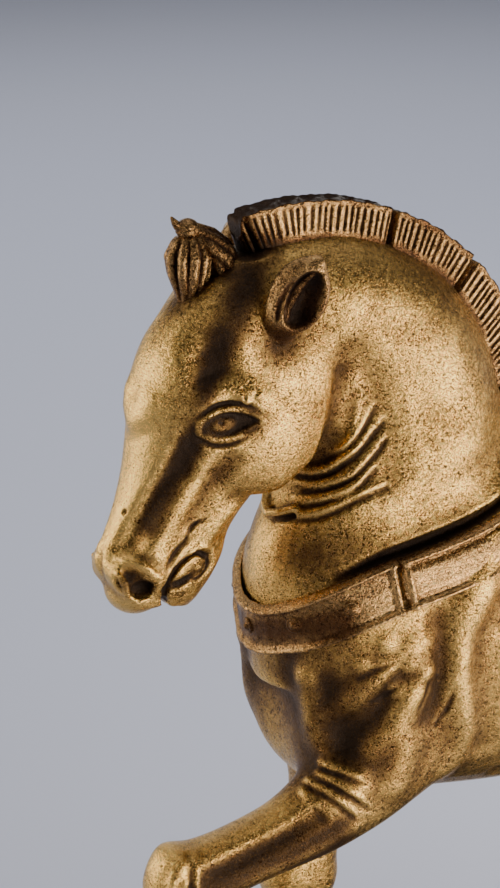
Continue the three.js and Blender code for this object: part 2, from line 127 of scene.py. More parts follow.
LEFT_HIND_LEG = [
    [50, 124, 97, 130, 12, -13],
    [45, 106, 97, 113, 13, -14],
    [47, 93, 94, 98, 11.5, -14.5],
    [54, 81, 88, 85, 9.2, -15],
    [60, 71, 83, 75, 7.2, -15],
    [64, 63, 82, 67, 5.9, -15],
    [65, 56, 83.5, 61, 6.1, -15],
    [62.5, 48.5, 78, 51, 5.9, -15],
    [58.5, 39, 71, 41.5, 4.9, -15],
    [53.5, 28, 65, 30, 4.8, -15],
    [50, 20.5, 63.5, 19.5, 6, -15],
    [46.5, 15, 59, 12, 5.4, -15],
    [42, 10.5, 57.5, 7.5, 7.5, -15],
    [38.5, 3, 58, 2.5, 9.6, -15],
    [36.5, 0, 58.5, 0, 10.2, -15],
]
HIND_STRIDE = [2, 6, 11, 15, 18, 19.5, 20.5, 23, 27, 31, 32.5, 33, 33.5, 34, 34.5]
RIGHT_HIND_LEG = [
    [fx + step, fz, min(bx + step, 104), bz, half, -y]
    for (fx, fz, bx, bz, half, y), step in zip(LEFT_HIND_LEG, HIND_STRIDE)
]
TAIL = [
    [84, 154, 83, 143, 5],
    [93, 157, 89, 146, 5.6],
    [103, 153, 95, 143, 6.6],
    [111, 141, 98, 136, 8],
    [114, 125, 98.5, 123, 8.2],
    [113, 109, 99.5, 109, 6.6],
    [114.5, 101, 97, 101, 8.6],
    [112, 93, 98.5, 93, 6.8],
    [113, 81, 97.5, 81, 7.6],
    [112, 67, 98, 68, 6.4],
    [108, 55, 99.5, 56, 4],
    [104.5, 47, 101.5, 47.5, 1.5],
]
MANE_TOP = [
    [-76, 214], [-74.5, 218.5], [-61, 219.8], [-48.5, 218.5], [-38, 215.2], [-28, 210.4],
    [-17.5, 202.4], [-10, 193.4], [-4, 182], [0, 171], [3, 163],
]
MANE_ROOT = [
    [-74, 208.5], [-71, 210], [-61, 212], [-50, 210.6], [-40, 207.6], [-31.5, 203],
    [-22.8, 196.3], [-16.3, 187], [-12, 176], [-8, 166], [-5, 159],
]
MANE_JOINTS = [0, 0.4, 0.61, 0.86, 1]  # where its lengths meet, as shares of its run
MANE_STEPS = 60  # rings to each span of MANE_TOP
MANE_HALF = 3.3
CROWN_POINTS = 14  # over the top of one ring
RIB_PITCH, RIB_DEPTH = 1.62, 0.5
RIB_RANGES = ((0.75, 1.2), (-0.16, 0.16), (0.4, 1.6))  # strength, lean, height of the foot
LEG_SEAMS = {
    "left_foreleg": ((-66.5, -16.5, 87.5), (-0.94, 0, -0.34), LEFT_FORELEG),
    "right_foreleg": ((-42, 16.5, 79), (0, 0, -1), RIGHT_FORELEG),
    "left_hind_leg": ((71, -15, 84), (0, 0, -1), LEFT_HIND_LEG),
    "right_hind_leg": ((86, 15, 84), (0, 0, -1), RIGHT_HIND_LEG),
}
NECK_SEAM = ((-33.5, 0, 142), (-math.sin(math.radians(22.6)), 0, math.cos(math.radians(22.6))))
COLLAR_LINE = [
    [-76, 123.5], [-72, 126], [-67, 130], [-60, 134], [-50, 138],
    [-36, 141], [-22, 144.5], [-10, 149.5], [0, 155.5], [9, 162.5],
]
COLLAR_HALF = 5.8
COLLAR_SPLIT = -48.6
NECK_POWER, TORSO_POWER = 2.1, 2.5  # how square the sections are, 2 being an ellipse
STAND_OFF = 1.2  # the gap that shows between the neck and the collar
LAP = 1.6  # castings run this far into one another, so their joints show as nothing or a hairline
SIDES = (-1, 1)


# ---- The clay: a distance field on a grid, negative inside the metal ----

def smooth_min(a, b, blend):
    """The lesser of two distances, rounded off where they are within blend of each other."""
    if blend <= 0:
        return np.minimum(a, b)
    overlap = np.maximum(blend - np.abs(a - b), 0) / blend
    return np.minimum(a, b) - overlap * overlap * blend * 0.25


def smooth_max(a, b, blend):
    return -smooth_min(-a, -b, blend)


def grid_step(fine):
    return fine


def curve_through(points, per_span):
    """Catmull-Rom points through a list of numbers of any width."""
    points = np.array(points, float)
    ends = np.vstack([2 * points[0] - points[1], points, 2 * points[-1] - points[-2]])
    spans = len(points) - 1
    share = np.linspace(0, spans, spans * per_span + 1)
    start = np.minimum(share.astype(int), spans - 1)
    t = (share - start)[:, None]
    p0, p1, p2, p3 = (ends[start + i] for i in range(4))
    return 0.5 * (2 * p1 + (p2 - p0) * t + (2 * p0 - 5 * p1 + 4 * p2 - p3) * t**2
                  + (3 * p1 - p0 - 3 * p2 + p3) * t**3)


def closed_skin(rings):
    """Points, triangles and quads of a skin through rings of points, fanned shut at both ends."""
    rings = np.asarray(rings)
    count, around = rings.shape[:2]
    index = np.arange(count * around).reshape(count, around)
    beside = np.roll(index, -1, axis=1)
    quads = np.stack([index[:-1], index[1:], beside[1:], beside[:-1]], -1).reshape(-1, 4)
    points = np.vstack([rings.reshape(-1, 3), rings[0].mean(0), rings[-1].mean(0)])
    hub = count * around
    triangles = np.vstack([np.stack([index[0], beside[0], np.full(around, hub)], -1),
                           np.stack([index[-1], np.full(around, hub + 1), beside[-1]], -1)])
    return points.astype(np.float32), triangles.astype(np.uint32), quads.astype(np.uint32)


def loft_skin(sections, around=48, per_span=8, power=2.2, grow=0.0, ripple=None):
    """A closed skin through sections; ripple(turn, share) swells it."""
    rows = curve_through([list(s) + [0] * (6 - len(s)) for s in sections], per_span)
    front, back, half, middle_y = rows[:, 0:2], rows[:, 2:4], rows[:, 4], rows[:, 5]
    centre, reach = (front + back) / 2, (front - back) / 2
    length = np.linalg.norm(reach, axis=1, keepdims=True)
    reach = reach * (1 + grow / length)
    turn = np.arange(around) / around * math.tau
    forward, sideways = (np.sign(v) * np.abs(v) ** (2 / power) for v in (np.cos(turn), np.sin(turn)))
    if ripple:
        swell = ripple(turn[None, :], np.linspace(0, 1, len(rows))[:, None])
        forward, sideways = forward * swell, sideways * swell
    x = centre[:, 0:1] + reach[:, 0:1] * forward
    y = middle_y[:, None] + (np.maximum(half, 0.3) + grow)[:, None] * sideways
    z = centre[:, 1:2] + reach[:, 1:2] * forward
    return closed_skin(np.stack([x, y, z], -1))


def turned(x=0, y=0, z=0):
    """A rotation matrix from degrees about X, then Y, then Z."""
    angles = [math.radians(v) for v in (x, y, z)]
    matrix = Matrix.Rotation(angles[2], 3, "Z") @ Matrix.Rotation(angles[1], 3, "Y")
    return np.array(matrix @ Matrix.Rotation(angles[0], 3, "X"))


class Clay:
    """Distances to a skin on a grid between two corners, with calls that add and cut metal."""
    def __init__(self, low, high, cell):
        self.cell = cell
        self.first = np.floor(np.array(low) / cell).astype(int)
        self.count = np.ceil(np.array(high) / cell).astype(int) - self.first + 1
        self.axes = [((np.arange(n) + f) * cell).astype(np.float32)
                     for n, f in zip(self.count, self.first)]
        self.field = np.full(self.count, BAND, np.float32)
        self.transform = openvdb.createLinearTransform(voxelSize=cell)
        self.corner = tuple(int(v) for v in self.first)

    def window(self, low, high):
        """The part of the grid inside a box, and its x, y and z shaped to broadcast."""
        start = np.floor(np.array(low) / self.cell).astype(int) - self.first
        stop = np.ceil(np.array(high) / self.cell).astype(int) - self.first + 1
        start = np.clip(start, 0, self.count - 1)
        stop = np.clip(stop, start + 1, self.count)
        part = tuple(slice(int(a), int(b)) for a, b in zip(start, stop))
        x, y, z = (axis[s] for axis, s in zip(self.axes, part))
        return part, x[:, None, None], y[None, :, None], z[None, None, :]

    def beyond(self, point, axis):
        """How far each grid point is past a plane."""
        x, y, z = (values - start for values, start in zip(self.axes, point))
        return x[:, None, None] * axis[0] + y[None, :, None] * axis[1] + z[None, None, :] * axis[2]

    def loft_field(self, sections, **shape):
        points, triangles, quads = loft_skin(sections, **shape)
        grid = openvdb.FloatGrid.createLevelSetFromPolygons(
            points, triangles=triangles, quads=quads, transform=self.transform,
            halfWidth=BAND / self.cell)
        field = np.empty(tuple(self.count), np.float32)
        grid.copyToArray(field, ijk=self.corner)
        return field

    def add_loft(self, sections, blend=0.0, **shape):
        self.field = smooth_min(self.field, self.loft_field(sections, **shape), blend)

    def merge(self, part, distance, blend, cut):
        old = self.field[part]
        self.field[part] = smooth_max(old, -distance, blend) if cut else smooth_min(old, distance, blend)

    def ball(self, centre, radii, turn=None, blend=2.0, cut=False):
        """An ellipsoid, added or cut."""
        centre, radii = np.array(centre, float), np.array(radii, float)
        reach = radii.max() + blend + 1.5
        part, x, y, z = self.window(centre - reach, centre + reach)
        local = [x - centre[0], y - centre[1], z - centre[2]]
        if turn is not None:
            inverse = turn.T
            local = [sum(inverse[i, j] * local[j] for j in range(3)) for i in range(3)]
        scaled = np.sqrt(sum((v / r) ** 2 for v, r in zip(local, radii)))
        slope = np.sqrt(sum((v / r**2) ** 2 for v, r in zip(local, radii))) + 1e-6
        self.merge(part, scaled * (scaled - 1) / slope, blend, cut)

    def path(self, points, blend=1.5, cut=False):
        """A round rod along points of x, y, z and radius."""
        points = np.array(points, float)
        reach = points[:, 3].max() + blend + 1.5
        part, x, y, z = self.window(points[:, :3].min(0) - reach, points[:, :3].max(0) + reach)
        nearest = None
        for a, b in zip(points[:-1], points[1:]):
            along = b[:3] - a[:3]
            dx, dy, dz = x - a[0], y - a[1], z - a[2]
            t = (dx * along[0] + dy * along[1] + dz * along[2]) / (along @ along + 1e-9)
            t = np.clip(t, 0, 1)
            away = np.sqrt((dx - t * along[0]) ** 2 + (dy - t * along[1]) ** 2
                           + (dz - t * along[2]) ** 2)
            away = away - (a[3] + (b[3] - a[3]) * t)
            nearest = away if nearest is None else np.minimum(nearest, away)
        self.merge(part, nearest, blend, cut)

    def sample(self, points, field=None):
        """A field's values at points between the grid's."""
        field = self.field if field is None else field
        place = np.asarray(points, float) / self.cell - self.first
        base = np.clip(np.floor(place).astype(int), 0, self.count - 2)
        t = np.clip(place - base, 0, 1)
        total = 0
        for dx in (0, 1):
            for dy in (0, 1):
                for dz in (0, 1):
                    weight = (np.where(dx, t[:, 0], 1 - t[:, 0]) * np.where(dy, t[:, 1], 1 - t[:, 1])
                              * np.where(dz, t[:, 2], 1 - t[:, 2]))
                    total = total + weight * field[base[:, 0] + dx, base[:, 1] + dy, base[:, 2] + dz]
        return total

    def first_skin(self, start, direction, length=40):
        """Where a line first meets the metal, and the outward normal there."""
        steps = np.arange(0, length, 0.1)[:, None]
        line = np.array(start, float) + np.array(direction, float) * steps
        inside = np.nonzero(self.sample(line) < 0)[0]
        if not len(inside):
            return None, None
        point = line[inside[0]]
        around = np.repeat(point[None], 6, 0)
        for axis in range(3):
            around[2 * axis, axis] += 0.6
            around[2 * axis + 1, axis] -= 0.6
        v = self.sample(around)
        normal = np.array([v[0] - v[1], v[2] - v[3], v[4] - v[5]])
        return point, normal / (np.linalg.norm(normal) + 1e-9)

    def on_skin(self, x, z, side):
        """The outermost skin over (x, z) on one side, and its outward normal."""
        return self.first_skin((x, CLEAR_Y * side, z), (0, -side, 0), CLEAR_Y)

    def lump(self, x, z, side, size, height, blend=0.8, cut=False):
        """A round swelling, or a dent, on the skin over (x, z)."""
        point, normal = self.on_skin(x, z, side)
        if point is None:
            return
        centre = point + normal * (size - height if cut else height - size)
        self.ball(centre, (size, size, size), blend=blend, cut=cut)

    def ring(self, row, radius, grow, blend=0.6, cut=False):
        """A cord laid round a section."""
        fx, fz, bx, bz, half, y = row
        turn = np.linspace(0, math.tau, 33)
        reach = np.array([fx - bx, fz - bz]) / 2
        reach = reach * (1 + grow / np.linalg.norm(reach))
        points = [[(fx + bx) / 2 + reach[0] * math.cos(t), y + (half + grow) * math.sin(t),
                   (fz + bz) / 2 + reach[1] * math.cos(t), radius] for t in turn]
        self.path(points, blend, cut)

    def stroke(self, line, side, width, depth, blend=1.0, ridge=False, taper=0.35):
        """A groove, or a ridge, drawn on the skin along (x, z) points seen from one side."""
        drawn = curve_through(line, 4)
        count = len(drawn)
        points = []
        for i, (x, z) in enumerate(drawn):
            share = i / (count - 1)
            fade = min(1.0, (min(share, 1 - share) + 0.02) / taper) ** 0.7
            point, normal = self.on_skin(x, z, side)
            if point is None:
                continue
            radius = width / 2
            shift = radius - depth * fade if not ridge else depth * fade - radius
            points.append([*(point + normal * shift), radius])
        if len(points) > 1:
            self.path(points, blend, cut=not ridge)

    def keep_beyond(self, point, axis, start=0.0):
        """Cut away everything on the near side of a plane."""
        self.field = np.maximum(self.field, start - self.beyond(point, axis))

    def copy(self):
        other = object.__new__(Clay)
        other.__dict__.update(self.__dict__)
        other.field = self.field.copy()
        return other


def blurred(field, cells):
    """Two box blurs along each axis."""
    reach = max(1, int(round(cells)))
    for axis in range(3):
        for _ in range(2):
            padded = np.pad(field, [(reach + 1, reach) if a == axis else (0, 0) for a in range(3)],
                            mode="edge")
            total = np.cumsum(padded, axis=axis, dtype=np.float32)
            size = 2 * reach + 1
            late = np.take(total, range(size, total.shape[axis]), axis=axis)
            early = np.take(total, range(0, total.shape[axis] - size), axis=axis)
            field = (late - early) / size
    return field


def object_from(name, points, faces):
    """A smooth-shaded object from points in millimetres above the plinth."""
    mesh = bpy.data.meshes.new(name)
    metres = (np.asarray(points, np.float32) + np.array([0, 0, GROUND], np.float32)) * 0.001
    faces = np.asarray(faces, np.int32)
    corners = faces.shape[1]
    mesh.vertices.add(len(metres))
    mesh.vertices.foreach_set("co", metres.ravel())
    mesh.loops.add(faces.size)
    mesh.loops.foreach_set("vertex_index", faces.ravel())
    mesh.polygons.add(len(faces))
    mesh.polygons.foreach_set("loop_start", np.arange(0, faces.size, corners, dtype=np.int32))
    mesh.polygons.foreach_set("use_smooth", np.ones(len(faces), bool))
    mesh.update(calc_edges=True)
    piece = bpy.data.objects.new(name, mesh)
    bpy.context.scene.collection.objects.link(piece)
    return piece


def mark(piece, name, values):
    """Store one number for each point, for the material to read."""
    layer = piece.data.attributes.new(name, "FLOAT", "POINT")
    layer.data.foreach_set("value", np.asarray(values, np.float32))


def finish_piece(piece, material, *nodes, slot="gilt_bronze"):
    """Give a piece its material and its body, and hide the CAD nodes that it stands for."""
    piece.data.materials.append(material)
    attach(piece, "root")
    if nodes:
        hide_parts(*nodes)
    return piece


# Painted shade, painted highlights and dark patina, on both sides: the two ends of a streak, how far it
# spreads, how dark.
# Below nothing, the streak is a painted highlight.
PAINTED_SHADE_HIGHLIGHT_AND_PATINA = [
    ((-78, 7, 207), (-70, 0, 211), 8, 1.0),  # painted shade and patina at the poll, between the ears
    ((-78, 8.4, 206.4), (-84.3, 10.9, 197), 7.5, 1.0),  # from there down to the eye
    ((-84.3, 10.9, 197), (-90.5, 12.4, 184), 5.5, 1.0),
    ((-73, 13, 199), (-68, 15, 197), 5, 0.9),  # painted shadow under the ear
    ((-70, 17, 199.5), (-68, 18.5, 208), 5.5, 1.0),  # inside the ear, and round it
    ((-72, 16, 196), (-69, 17.5, 204.5), 11, 0.75),
    ((-87, 0, 203), (-87, 0, 218), 10, 0.5),  # the forelock
    ((-82, 0, 214), (-76, 0, 206), 9, 0.8),
    ((-92, 13, 178), (-80, 14, 178.6), 7, 0.8),  # the eye
    ((-93, 11.5, 174), (-101, 9, 157.5), 6, 1.2),  # the groove down the face
    ((-105.5, 7.5, 145.5), (-102, 8, 144), 4.5, 1.0),  # the nostril
    ((-96, 8, 142), (-88, 7, 146), 4.5, 0.5),  # the lips
    ((-64, 10, 158), (-54, 14, 164), 8, 0.35),  # the throat
    ((-60, 14, 160), (-50, 19, 168), 9, 0.35),
    ((-66, 10, 145), (-52, 19, 143), 9, 0.5),  # painted shade at the foot of the neck, under the collar
    ((-68, 15, 116), (-62, 18, 101), 20, 0.66),  # painted shade on the breast
    ((-58, 21, 114), (-54, 22, 101), 18, 0.48),
    ((-45, 26, 122), (-42, 26, 108), 9, 0.3),
    ((-76, 0, 124), (-62, 20, 131), 8, 0.9),  # painted shade on the collar's front
    ((-54, 20, 144), (-24, 25, 152), 5, 0.8),  # painted shadow along its upper edge
    ((-64, 23.5, 82.5), (-97, 22.5, 76.5), 10, 0.85),  # painted shadow under the raised foreleg
    ((-98, 4, 189), (-108.5, 3, 150), 8.5, -0.6),  # painted highlight down the front of the face
    ((-74, 14, 182), (-72, 14, 174), 12, -0.2),  # painted highlight on the cheek
]


def painted_shade_highlight_and_patina_at(points):
    """How dark the painted shade and patina are at points, and how much lighter a painted highlight makes
    them.
    """
    total = np.zeros(len(points))
    mirrored = points * np.array([1, 0, 1]) + np.abs(points) * np.array([0, 1, 0])
    for a, b, reach, strength in PAINTED_SHADE_HIGHLIGHT_AND_PATINA:
        a, b = np.array(a, float), np.array(b, float)
        share = np.clip((mirrored - a) @ (b - a) / ((b - a) @ (b - a)), 0, 1)[:, None]
        near = 1 - np.linalg.norm(mirrored - a - share * (b - a), axis=1) / reach
        near = np.clip(near, 0, 1)
        amount = strength * near * near * (3 - 2 * near)
        total = np.maximum(total, amount) if strength > 0 else total + amount
    return total


def largest_island(points, quads):
    """The main skin alone, without specks that aren't joined to it."""
    label = np.arange(len(points))
    while True:
        spread = label.copy()
        np.minimum.at(spread, quads.ravel(), np.repeat(label[quads].min(1), 4))
        spread = spread[spread]
        if np.array_equal(spread, label):
            break
        label = spread
    kept = label == np.bincount(label).argmax()
    number = np.cumsum(kept) - 1
    return points[kept], number[quads[kept[quads[:, 0]]]]


def cast(clay, name, material, *nodes, slot="gilt_bronze", around=None):
    """Mesh the clay and note on its skin how hollow or proud each place is, and where shade and highlights
    are painted.
    """
    grid = openvdb.FloatGrid(BAND)
    grid.transform = clay.transform
    clear = np.where(np.abs(clay.field) < SKIN_GAP, SKIN_GAP, clay.field)
    grid.copyFromArray(np.ascontiguousarray(clear, np.float32), ijk=clay.corner)
    points, quads = largest_island(*grid.convertToQuads(isovalue=0.0))
    piece = object_from(name, points, quads)
    around = around or clay
    # The fine hollows hold patina; the wide hollows darken as patina and as painted shade where parts meet
    # and recesses lie in shadow.
    for label, reach in (("fine_hollow_and_shade", 0.7), ("wide_hollow_and_shade", 2.6)):
        mean = around.sample(points, blurred(around.field, reach / around.cell))
        mark(piece, label, np.clip(-mean / reach, -0.15, 1))
    # Painted shade, painted highlights and patina along the listed streaks.
    mark(piece, "shade_highlight_and_patina", painted_shade_highlight_and_patina_at(points))
    return finish_piece(piece, material, *nodes, slot=slot)


# ---- Materials ----

class Nodes:
    """Short calls for a procedural material's nodes; an input is a value or an output socket."""
    def __init__(self, name):
        self.material = bpy.data.materials.new(name)
        self.material.use_nodes = True
        self.tree = self.material.node_tree
        self.shader = self.tree.nodes["Principled BSDF"]

    def put(self, socket, value):
        if isinstance(value, bpy.types.NodeSocket):
            self.tree.links.new(value, socket)
        else:
            socket.default_value = value

    def node(self, kind, out=0, settings=(), **inputs):
        node = self.tree.nodes.new(kind)
        for key, value in dict(settings).items():
            setattr(node, key, value)
        for key, value in inputs.items():
            self.put(node.inputs[key.replace("_", " ")], value)
        return node.outputs[out]

    def millimetres(self, scale=(1, 1, 1)):
        place = self.node("ShaderNodeTexCoord", "Object")
        return self.node("ShaderNodeMapping", Vector=place, Scale=[1000 * s for s in scale])

    def noise(self, per_mm, detail=3.0, roughness=0.55, distortion=0.0, vector=None):
        return self.node("ShaderNodeTexNoise", "Fac", Vector=vector or self.millimetres(),
                         Scale=per_mm, Detail=detail, Roughness=roughness, Distortion=distortion)

    def math(self, operation, a, b=0.0, c=0.0):
        node = self.tree.nodes.new("ShaderNodeMath")
        node.operation = operation
        for socket, value in zip(node.inputs, (a, b, c)):
            self.put(socket, value)
        return node.outputs[0]

    def span(self, value, low, high, to_low=0.0, to_high=1.0):
        node = self.tree.nodes.new("ShaderNodeMapRange")
        for key, v in (("Value", value), ("From Min", low), ("From Max", high),
                       ("To Min", to_low), ("To Max", to_high)):
            self.put(node.inputs[key], v)
        return node.outputs[0]

    def mix(self, share, a, b):
        node = self.tree.nodes.new("ShaderNodeMix")
        node.data_type = "RGBA"
        self.put(node.inputs[0], share)
        for socket, value in zip((node.inputs[6], node.inputs[7]), (a, b)):
            self.put(socket, (*value, 1.0) if isinstance(value, tuple) else value)
        return node.outputs[2]

    def attribute(self, name):
        return self.node("ShaderNodeAttribute", "Fac", settings={"attribute_name": name})

    def bump(self, height, distance, strength=1.0, normal=None):
        inputs = {"Height": height, "Distance": distance, "Strength": strength}
        if normal is not None:
            inputs["Normal"] = normal
        return self.node("ShaderNodeBump", **inputs)


def bronze(name, gold=(0.84, 0.52, 0.15), deep=(0.26, 0.13, 0.040), wear=0.0):
    """Worn gilding: warm gold on what stands proud, brown patina and painted shade in the hollows, fine
    dark pits; painted highlights lighten it where the shading attribute is below nothing.
    """
    # Near-black: the colour of grime and pits, and of painted shade.
    grime_and_shade_colour = (0.020, 0.010, 0.005)
    n = Nodes(name)
    fine, wide, shade_highlight_and_patina = n.attribute("fine_hollow_and_shade"), n.attribute("wide_hollow_and_shade"), n.attribute("shade_highlight_and_patina")
    cloud = n.noise(0.07, 4.0, 0.6, 0.8)
    mottle = n.noise(0.9, 5.0, 0.65, 0.5)
    pebble = n.noise(2.2, 3.0, 0.6, 0.5)
    grain = n.noise(4.5, 3.0, 0.6, 0.5)
    speck = n.noise(2.8, 3.0, 0.6)
    # Patina in the hollows, with painted shade from the wide hollows and painted shade and highlights from
    # the shading attribute.
    hollow_shade_and_patina = n.math("MULTIPLY_ADD", wide, 1.3, n.math("MULTIPLY", fine, 1.6))
    hollow_shade_and_patina = n.math("ADD", hollow_shade_and_patina, n.math("MULTIPLY", shade_highlight_and_patina, 0.95))
    tone = n.math("ADD", n.span(cloud, 0.35, 0.65, -0.20, 0.20), n.span(mottle, 0.3, 0.7, -0.20, 0.20))
    tone = n.math("ADD", tone, n.span(pebble, 0.3, 0.7, -0.14, 0.14))
    tone = n.math("ADD", tone, n.math("MULTIPLY", hollow_shade_and_patina, -1.1))
    tone = n.span(n.math("ADD", tone, wear), -0.60, 0.30)
    colour = n.mix(tone, deep, gold)
    broken = n.math("ADD", n.span(mottle, 0.3, 0.7, -0.28, 0.28), n.span(speck, 0.38, 0.62, -0.34, 0.34))
    # Grime and painted shade, mixed in where the hollows and the shading attribute are dark.
    dirt_and_shade = n.span(n.math("ADD", hollow_shade_and_patina, broken), 0.32, 0.95)
    colour = n.mix(n.math("MULTIPLY", dirt_and_shade, 0.94), colour, grime_and_shade_colour)
    edge = n.math("ADD", n.span(cloud, 0.3, 0.7, 0.47, 0.41), n.math("MULTIPLY", hollow_shade_and_patina, 0.12))
    pits = n.span(n.math("SUBTRACT", edge, speck), -0.02, 0.03)
    pits = n.math("MULTIPLY", pits, n.span(mottle, 0.60, 0.44, 0.35, 1.0))
    colour = n.mix(n.math("MULTIPLY", pits, 0.92), colour, grime_and_shade_colour)
    n.put(n.shader.inputs["Base Color"], colour)
    n.put(n.shader.inputs["Metallic"], n.span(dirt_and_shade, 0.0, 1.0, 1.0, 0.7))
    rough = n.math("ADD", n.span(mottle, 0.3, 0.7, 0.17, 0.30), n.math("MULTIPLY", dirt_and_shade, 0.2))
    n.put(n.shader.inputs["Roughness"], n.math("ADD", rough, n.math("MULTIPLY", pits, 0.15)))
    height = n.math("MULTIPLY_ADD", grain, 0.5, n.math("MULTIPLY", pits, -0.9))
    normal = n.bump(height, 0.00010, 0.8)
    normal = n.bump(pebble, 0.00022, 0.75, normal)
    normal = n.bump(mottle, 0.00034, 0.55, normal)
    n.put(n.shader.inputs["Normal"], normal)
    return n.material


def plain_metal(name, colour, roughness):
    """Turned brass or steel, with fine lines round it."""
    n = Nodes(name)
    turned_lines = n.noise(3.0, 3.0, vector=n.millimetres((1, 1, 0.15)))
    n.put(n.shader.inputs["Base Color"],
          n.mix(n.noise(0.4, 4.0), tuple(c * 0.7 for c in colour), colour))
    n.shader.inputs["Metallic"].default_value = 1.0
    n.put(n.shader.inputs["Roughness"], n.span(turned_lines, 0.3, 0.7, roughness - 0.1, roughness + 0.1))
    n.put(n.shader.inputs["Normal"], n.bump(turned_lines, 0.00003, 0.5))
    return n.material


def marble():
    """Polished black marble with thin pale veins."""
    n = Nodes("black_marble")
    warp = n.noise(0.02, 4.0, 0.6, 1.5)
    ridge = n.math("ABSOLUTE", n.math("SUBTRACT", n.noise(0.035, 6.0, 0.6, 1.8), 0.5))
    vein = n.math("MULTIPLY", n.span(ridge, 0.0, 0.012, 1.0, 0.0), n.span(warp, 0.5, 0.62))
    ground = n.mix(n.noise(0.3, 5.0), (0.006, 0.006, 0.007), (0.018, 0.018, 0.021))
    n.put(n.shader.inputs["Base Color"], n.mix(vein, ground, (0.42, 0.40, 0.36)))
    n.put(n.shader.inputs["Roughness"], n.span(n.noise(1.2, 3.0), 0.3, 0.7, 0.10, 0.2))
    n.put(n.shader.inputs["Normal"], n.bump(n.noise(0.25, 3.0), 0.00015, 0.35))
    return n.material


def baize():
    """Green felt."""
    n = Nodes("green_baize")
    fibre = n.noise(4.0, 4.0, 0.7, 2.0)
    n.put(n.shader.inputs["Base Color"], n.mix(fibre, (0.008, 0.035, 0.018), (0.03, 0.10, 0.055)))
    n.shader.inputs["Roughness"].default_value = 0.95
    n.shader.inputs["Sheen Weight"].default_value = 0.5
    n.put(n.shader.inputs["Normal"], n.bump(fibre, 0.0003, 0.8))
    return n.material


GILT = bronze("gilt_bronze")
DARK = bronze("dark_bronze", gold=(0.60, 0.36, 0.14), deep=(0.13, 0.058, 0.022), wear=-0.28)
BRASS = plain_metal("fitting_brass", (0.71, 0.52, 0.25), 0.35)
STEEL = plain_metal("plain_steel", (0.56, 0.57, 0.58), 0.35)


# ---- The head ----

def strokes(clay, side, rows):
    """Marks on the skin: height (a groove's is below nothing), width, blend, points, maybe a taper."""
    for height, width, blend, line, *taper in rows:
        clay.stroke(line, side, width, abs(height), blend, height > 0, *taper)


def cheek(clay, side):
    """The round jaw muscle, with a sharp rear edge, and the hollows round it."""
    clay.ball((-72.6, side * 9.6, 176.5), (14, 5.4, 16.5), turned(y=18), blend=2.5)
    clay.ball((-66.5, side * 9.8, 186), (8, 4, 9), blend=3.0)
    strokes(clay, side, [
        (-0.8, 4, 2.4, [(-56.8, 184), (-57, 178), (-58.7, 172), (-63, 165.5), (-69, 161)], 0.5),
        (-2.0, 10, 4.0, [(-89, 197), (-87.5, 191.5), (-86, 186.5)]),
        (-1.5, 6, 2.6, [(-92, 175), (-95, 168), (-99, 161.5), (-102.5, 155.5), (-106, 151)], 0.2),
        (-0.7, 5, 2.5, [(-84, 170), (-88, 163), (-91, 157.5)]),
        (0.9, 5, 2.5, [(-94, 165), (-97.5, 158), (-99.5, 152), (-99.5, 148)]),
        (0.8, 5, 2.0, [(-80, 159), (-84.5, 155.5), (-87, 152)]),
    ])
    clay.lump(-103.7, 159.4, side, 0.6, 0.7, blend=0.2, cut=True)


def eye(clay, side):
    """The eyeball in its socket, with thin doubled lids, a tear duct and a rough brow."""
    clay.ball((-85.2, side * 15.7, 178.6), (7.2, 3.3, 3.7), blend=1.0, cut=True)
    clay.ball((-85.4, side * 10.9, 178.4), (4.3, 2.7, 2.7), blend=0.2)
    strokes(clay, side, [
        (1.2, 7, 1.5, [(-91, 183.5), (-86, 185.5), (-81, 184.8), (-76, 181.5)]),
        (-0.7, 1.3, 0.3, [(-91.3, 180.6), (-87.5, 182.7), (-83, 182.7), (-79, 181)]),
        (0.4, 1.2, 0.3, [(-91.6, 178.9), (-89, 180.8), (-85, 181.5), (-80.8, 180.4), (-77.4, 178.6)], 0.12),
        (0.35, 1.1, 0.3, [(-91, 177), (-88, 175.4), (-84.6, 175.4), (-81.4, 176.5), (-77.4, 178.4)], 0.12),
        (-0.5, 1.2, 0.3, [(-90.5, 175.3), (-87.5, 173.8), (-84, 173.9), (-80.5, 175.3)]),
        (0.6, 1.7, 0.3, [(-90.7, 179.4), (-91, 178), (-90.6, 176.4)]),
    ])
    clay.lump(-86.6, 179, side, 1.2, 0.35, blend=0.15, cut=True)
    for x, z, size in ((-82.6, 184.6, 1.3), (-80.6, 185.2, 1.1), (-79, 184.2, 1.2), (-81.5, 183.2, 0.9)):
        clay.lump(x, z, side, size, 0.55, blend=0.3)
    creases = ([(-81, 187), (-80, 184)], [(-82.2, 186.8), (-82, 183)], [(-79.3, 186.3), (-78.2, 183.2)])
    strokes(clay, side, [(-0.35, 0.5, 0.15, line) for line in creases])


def nostril(clay, side):
    """A wide comma-shaped nostril with a flap standing in it and a rolled rim."""
    clay.ball((-102.6, side * 4.8, 145.8), (5.2, 4.2, 4.9), blend=2.0)
    clay.ball((-105.2, side * 9.6, 145.4), (7.4, 3.2, 4.3), turned(y=38, z=side * 32), blend=1.2, cut=True)
    clay.ball((-102.4, side * 8.0, 143.0), (2.8, 3.0, 2.4), blend=0.6, cut=True)
    clay.path([(-107, side * 5.6, 147.4, 0.6), (-106, side * 6.6, 145.4, 0.9),
               (-105.4, side * 6.6, 142.6, 0.7)], blend=0.5)
    strokes(clay, side, [
        (0.3, 1.8, 1.2, [(-107.6, 151), (-103.4, 150.2), (-99.2, 146.4), (-98.2, 142)], 0.3),
        (-0.5, 1.4, 0.8, [(-106, 151.4), (-102, 150.4), (-98.4, 147)]),
    ])


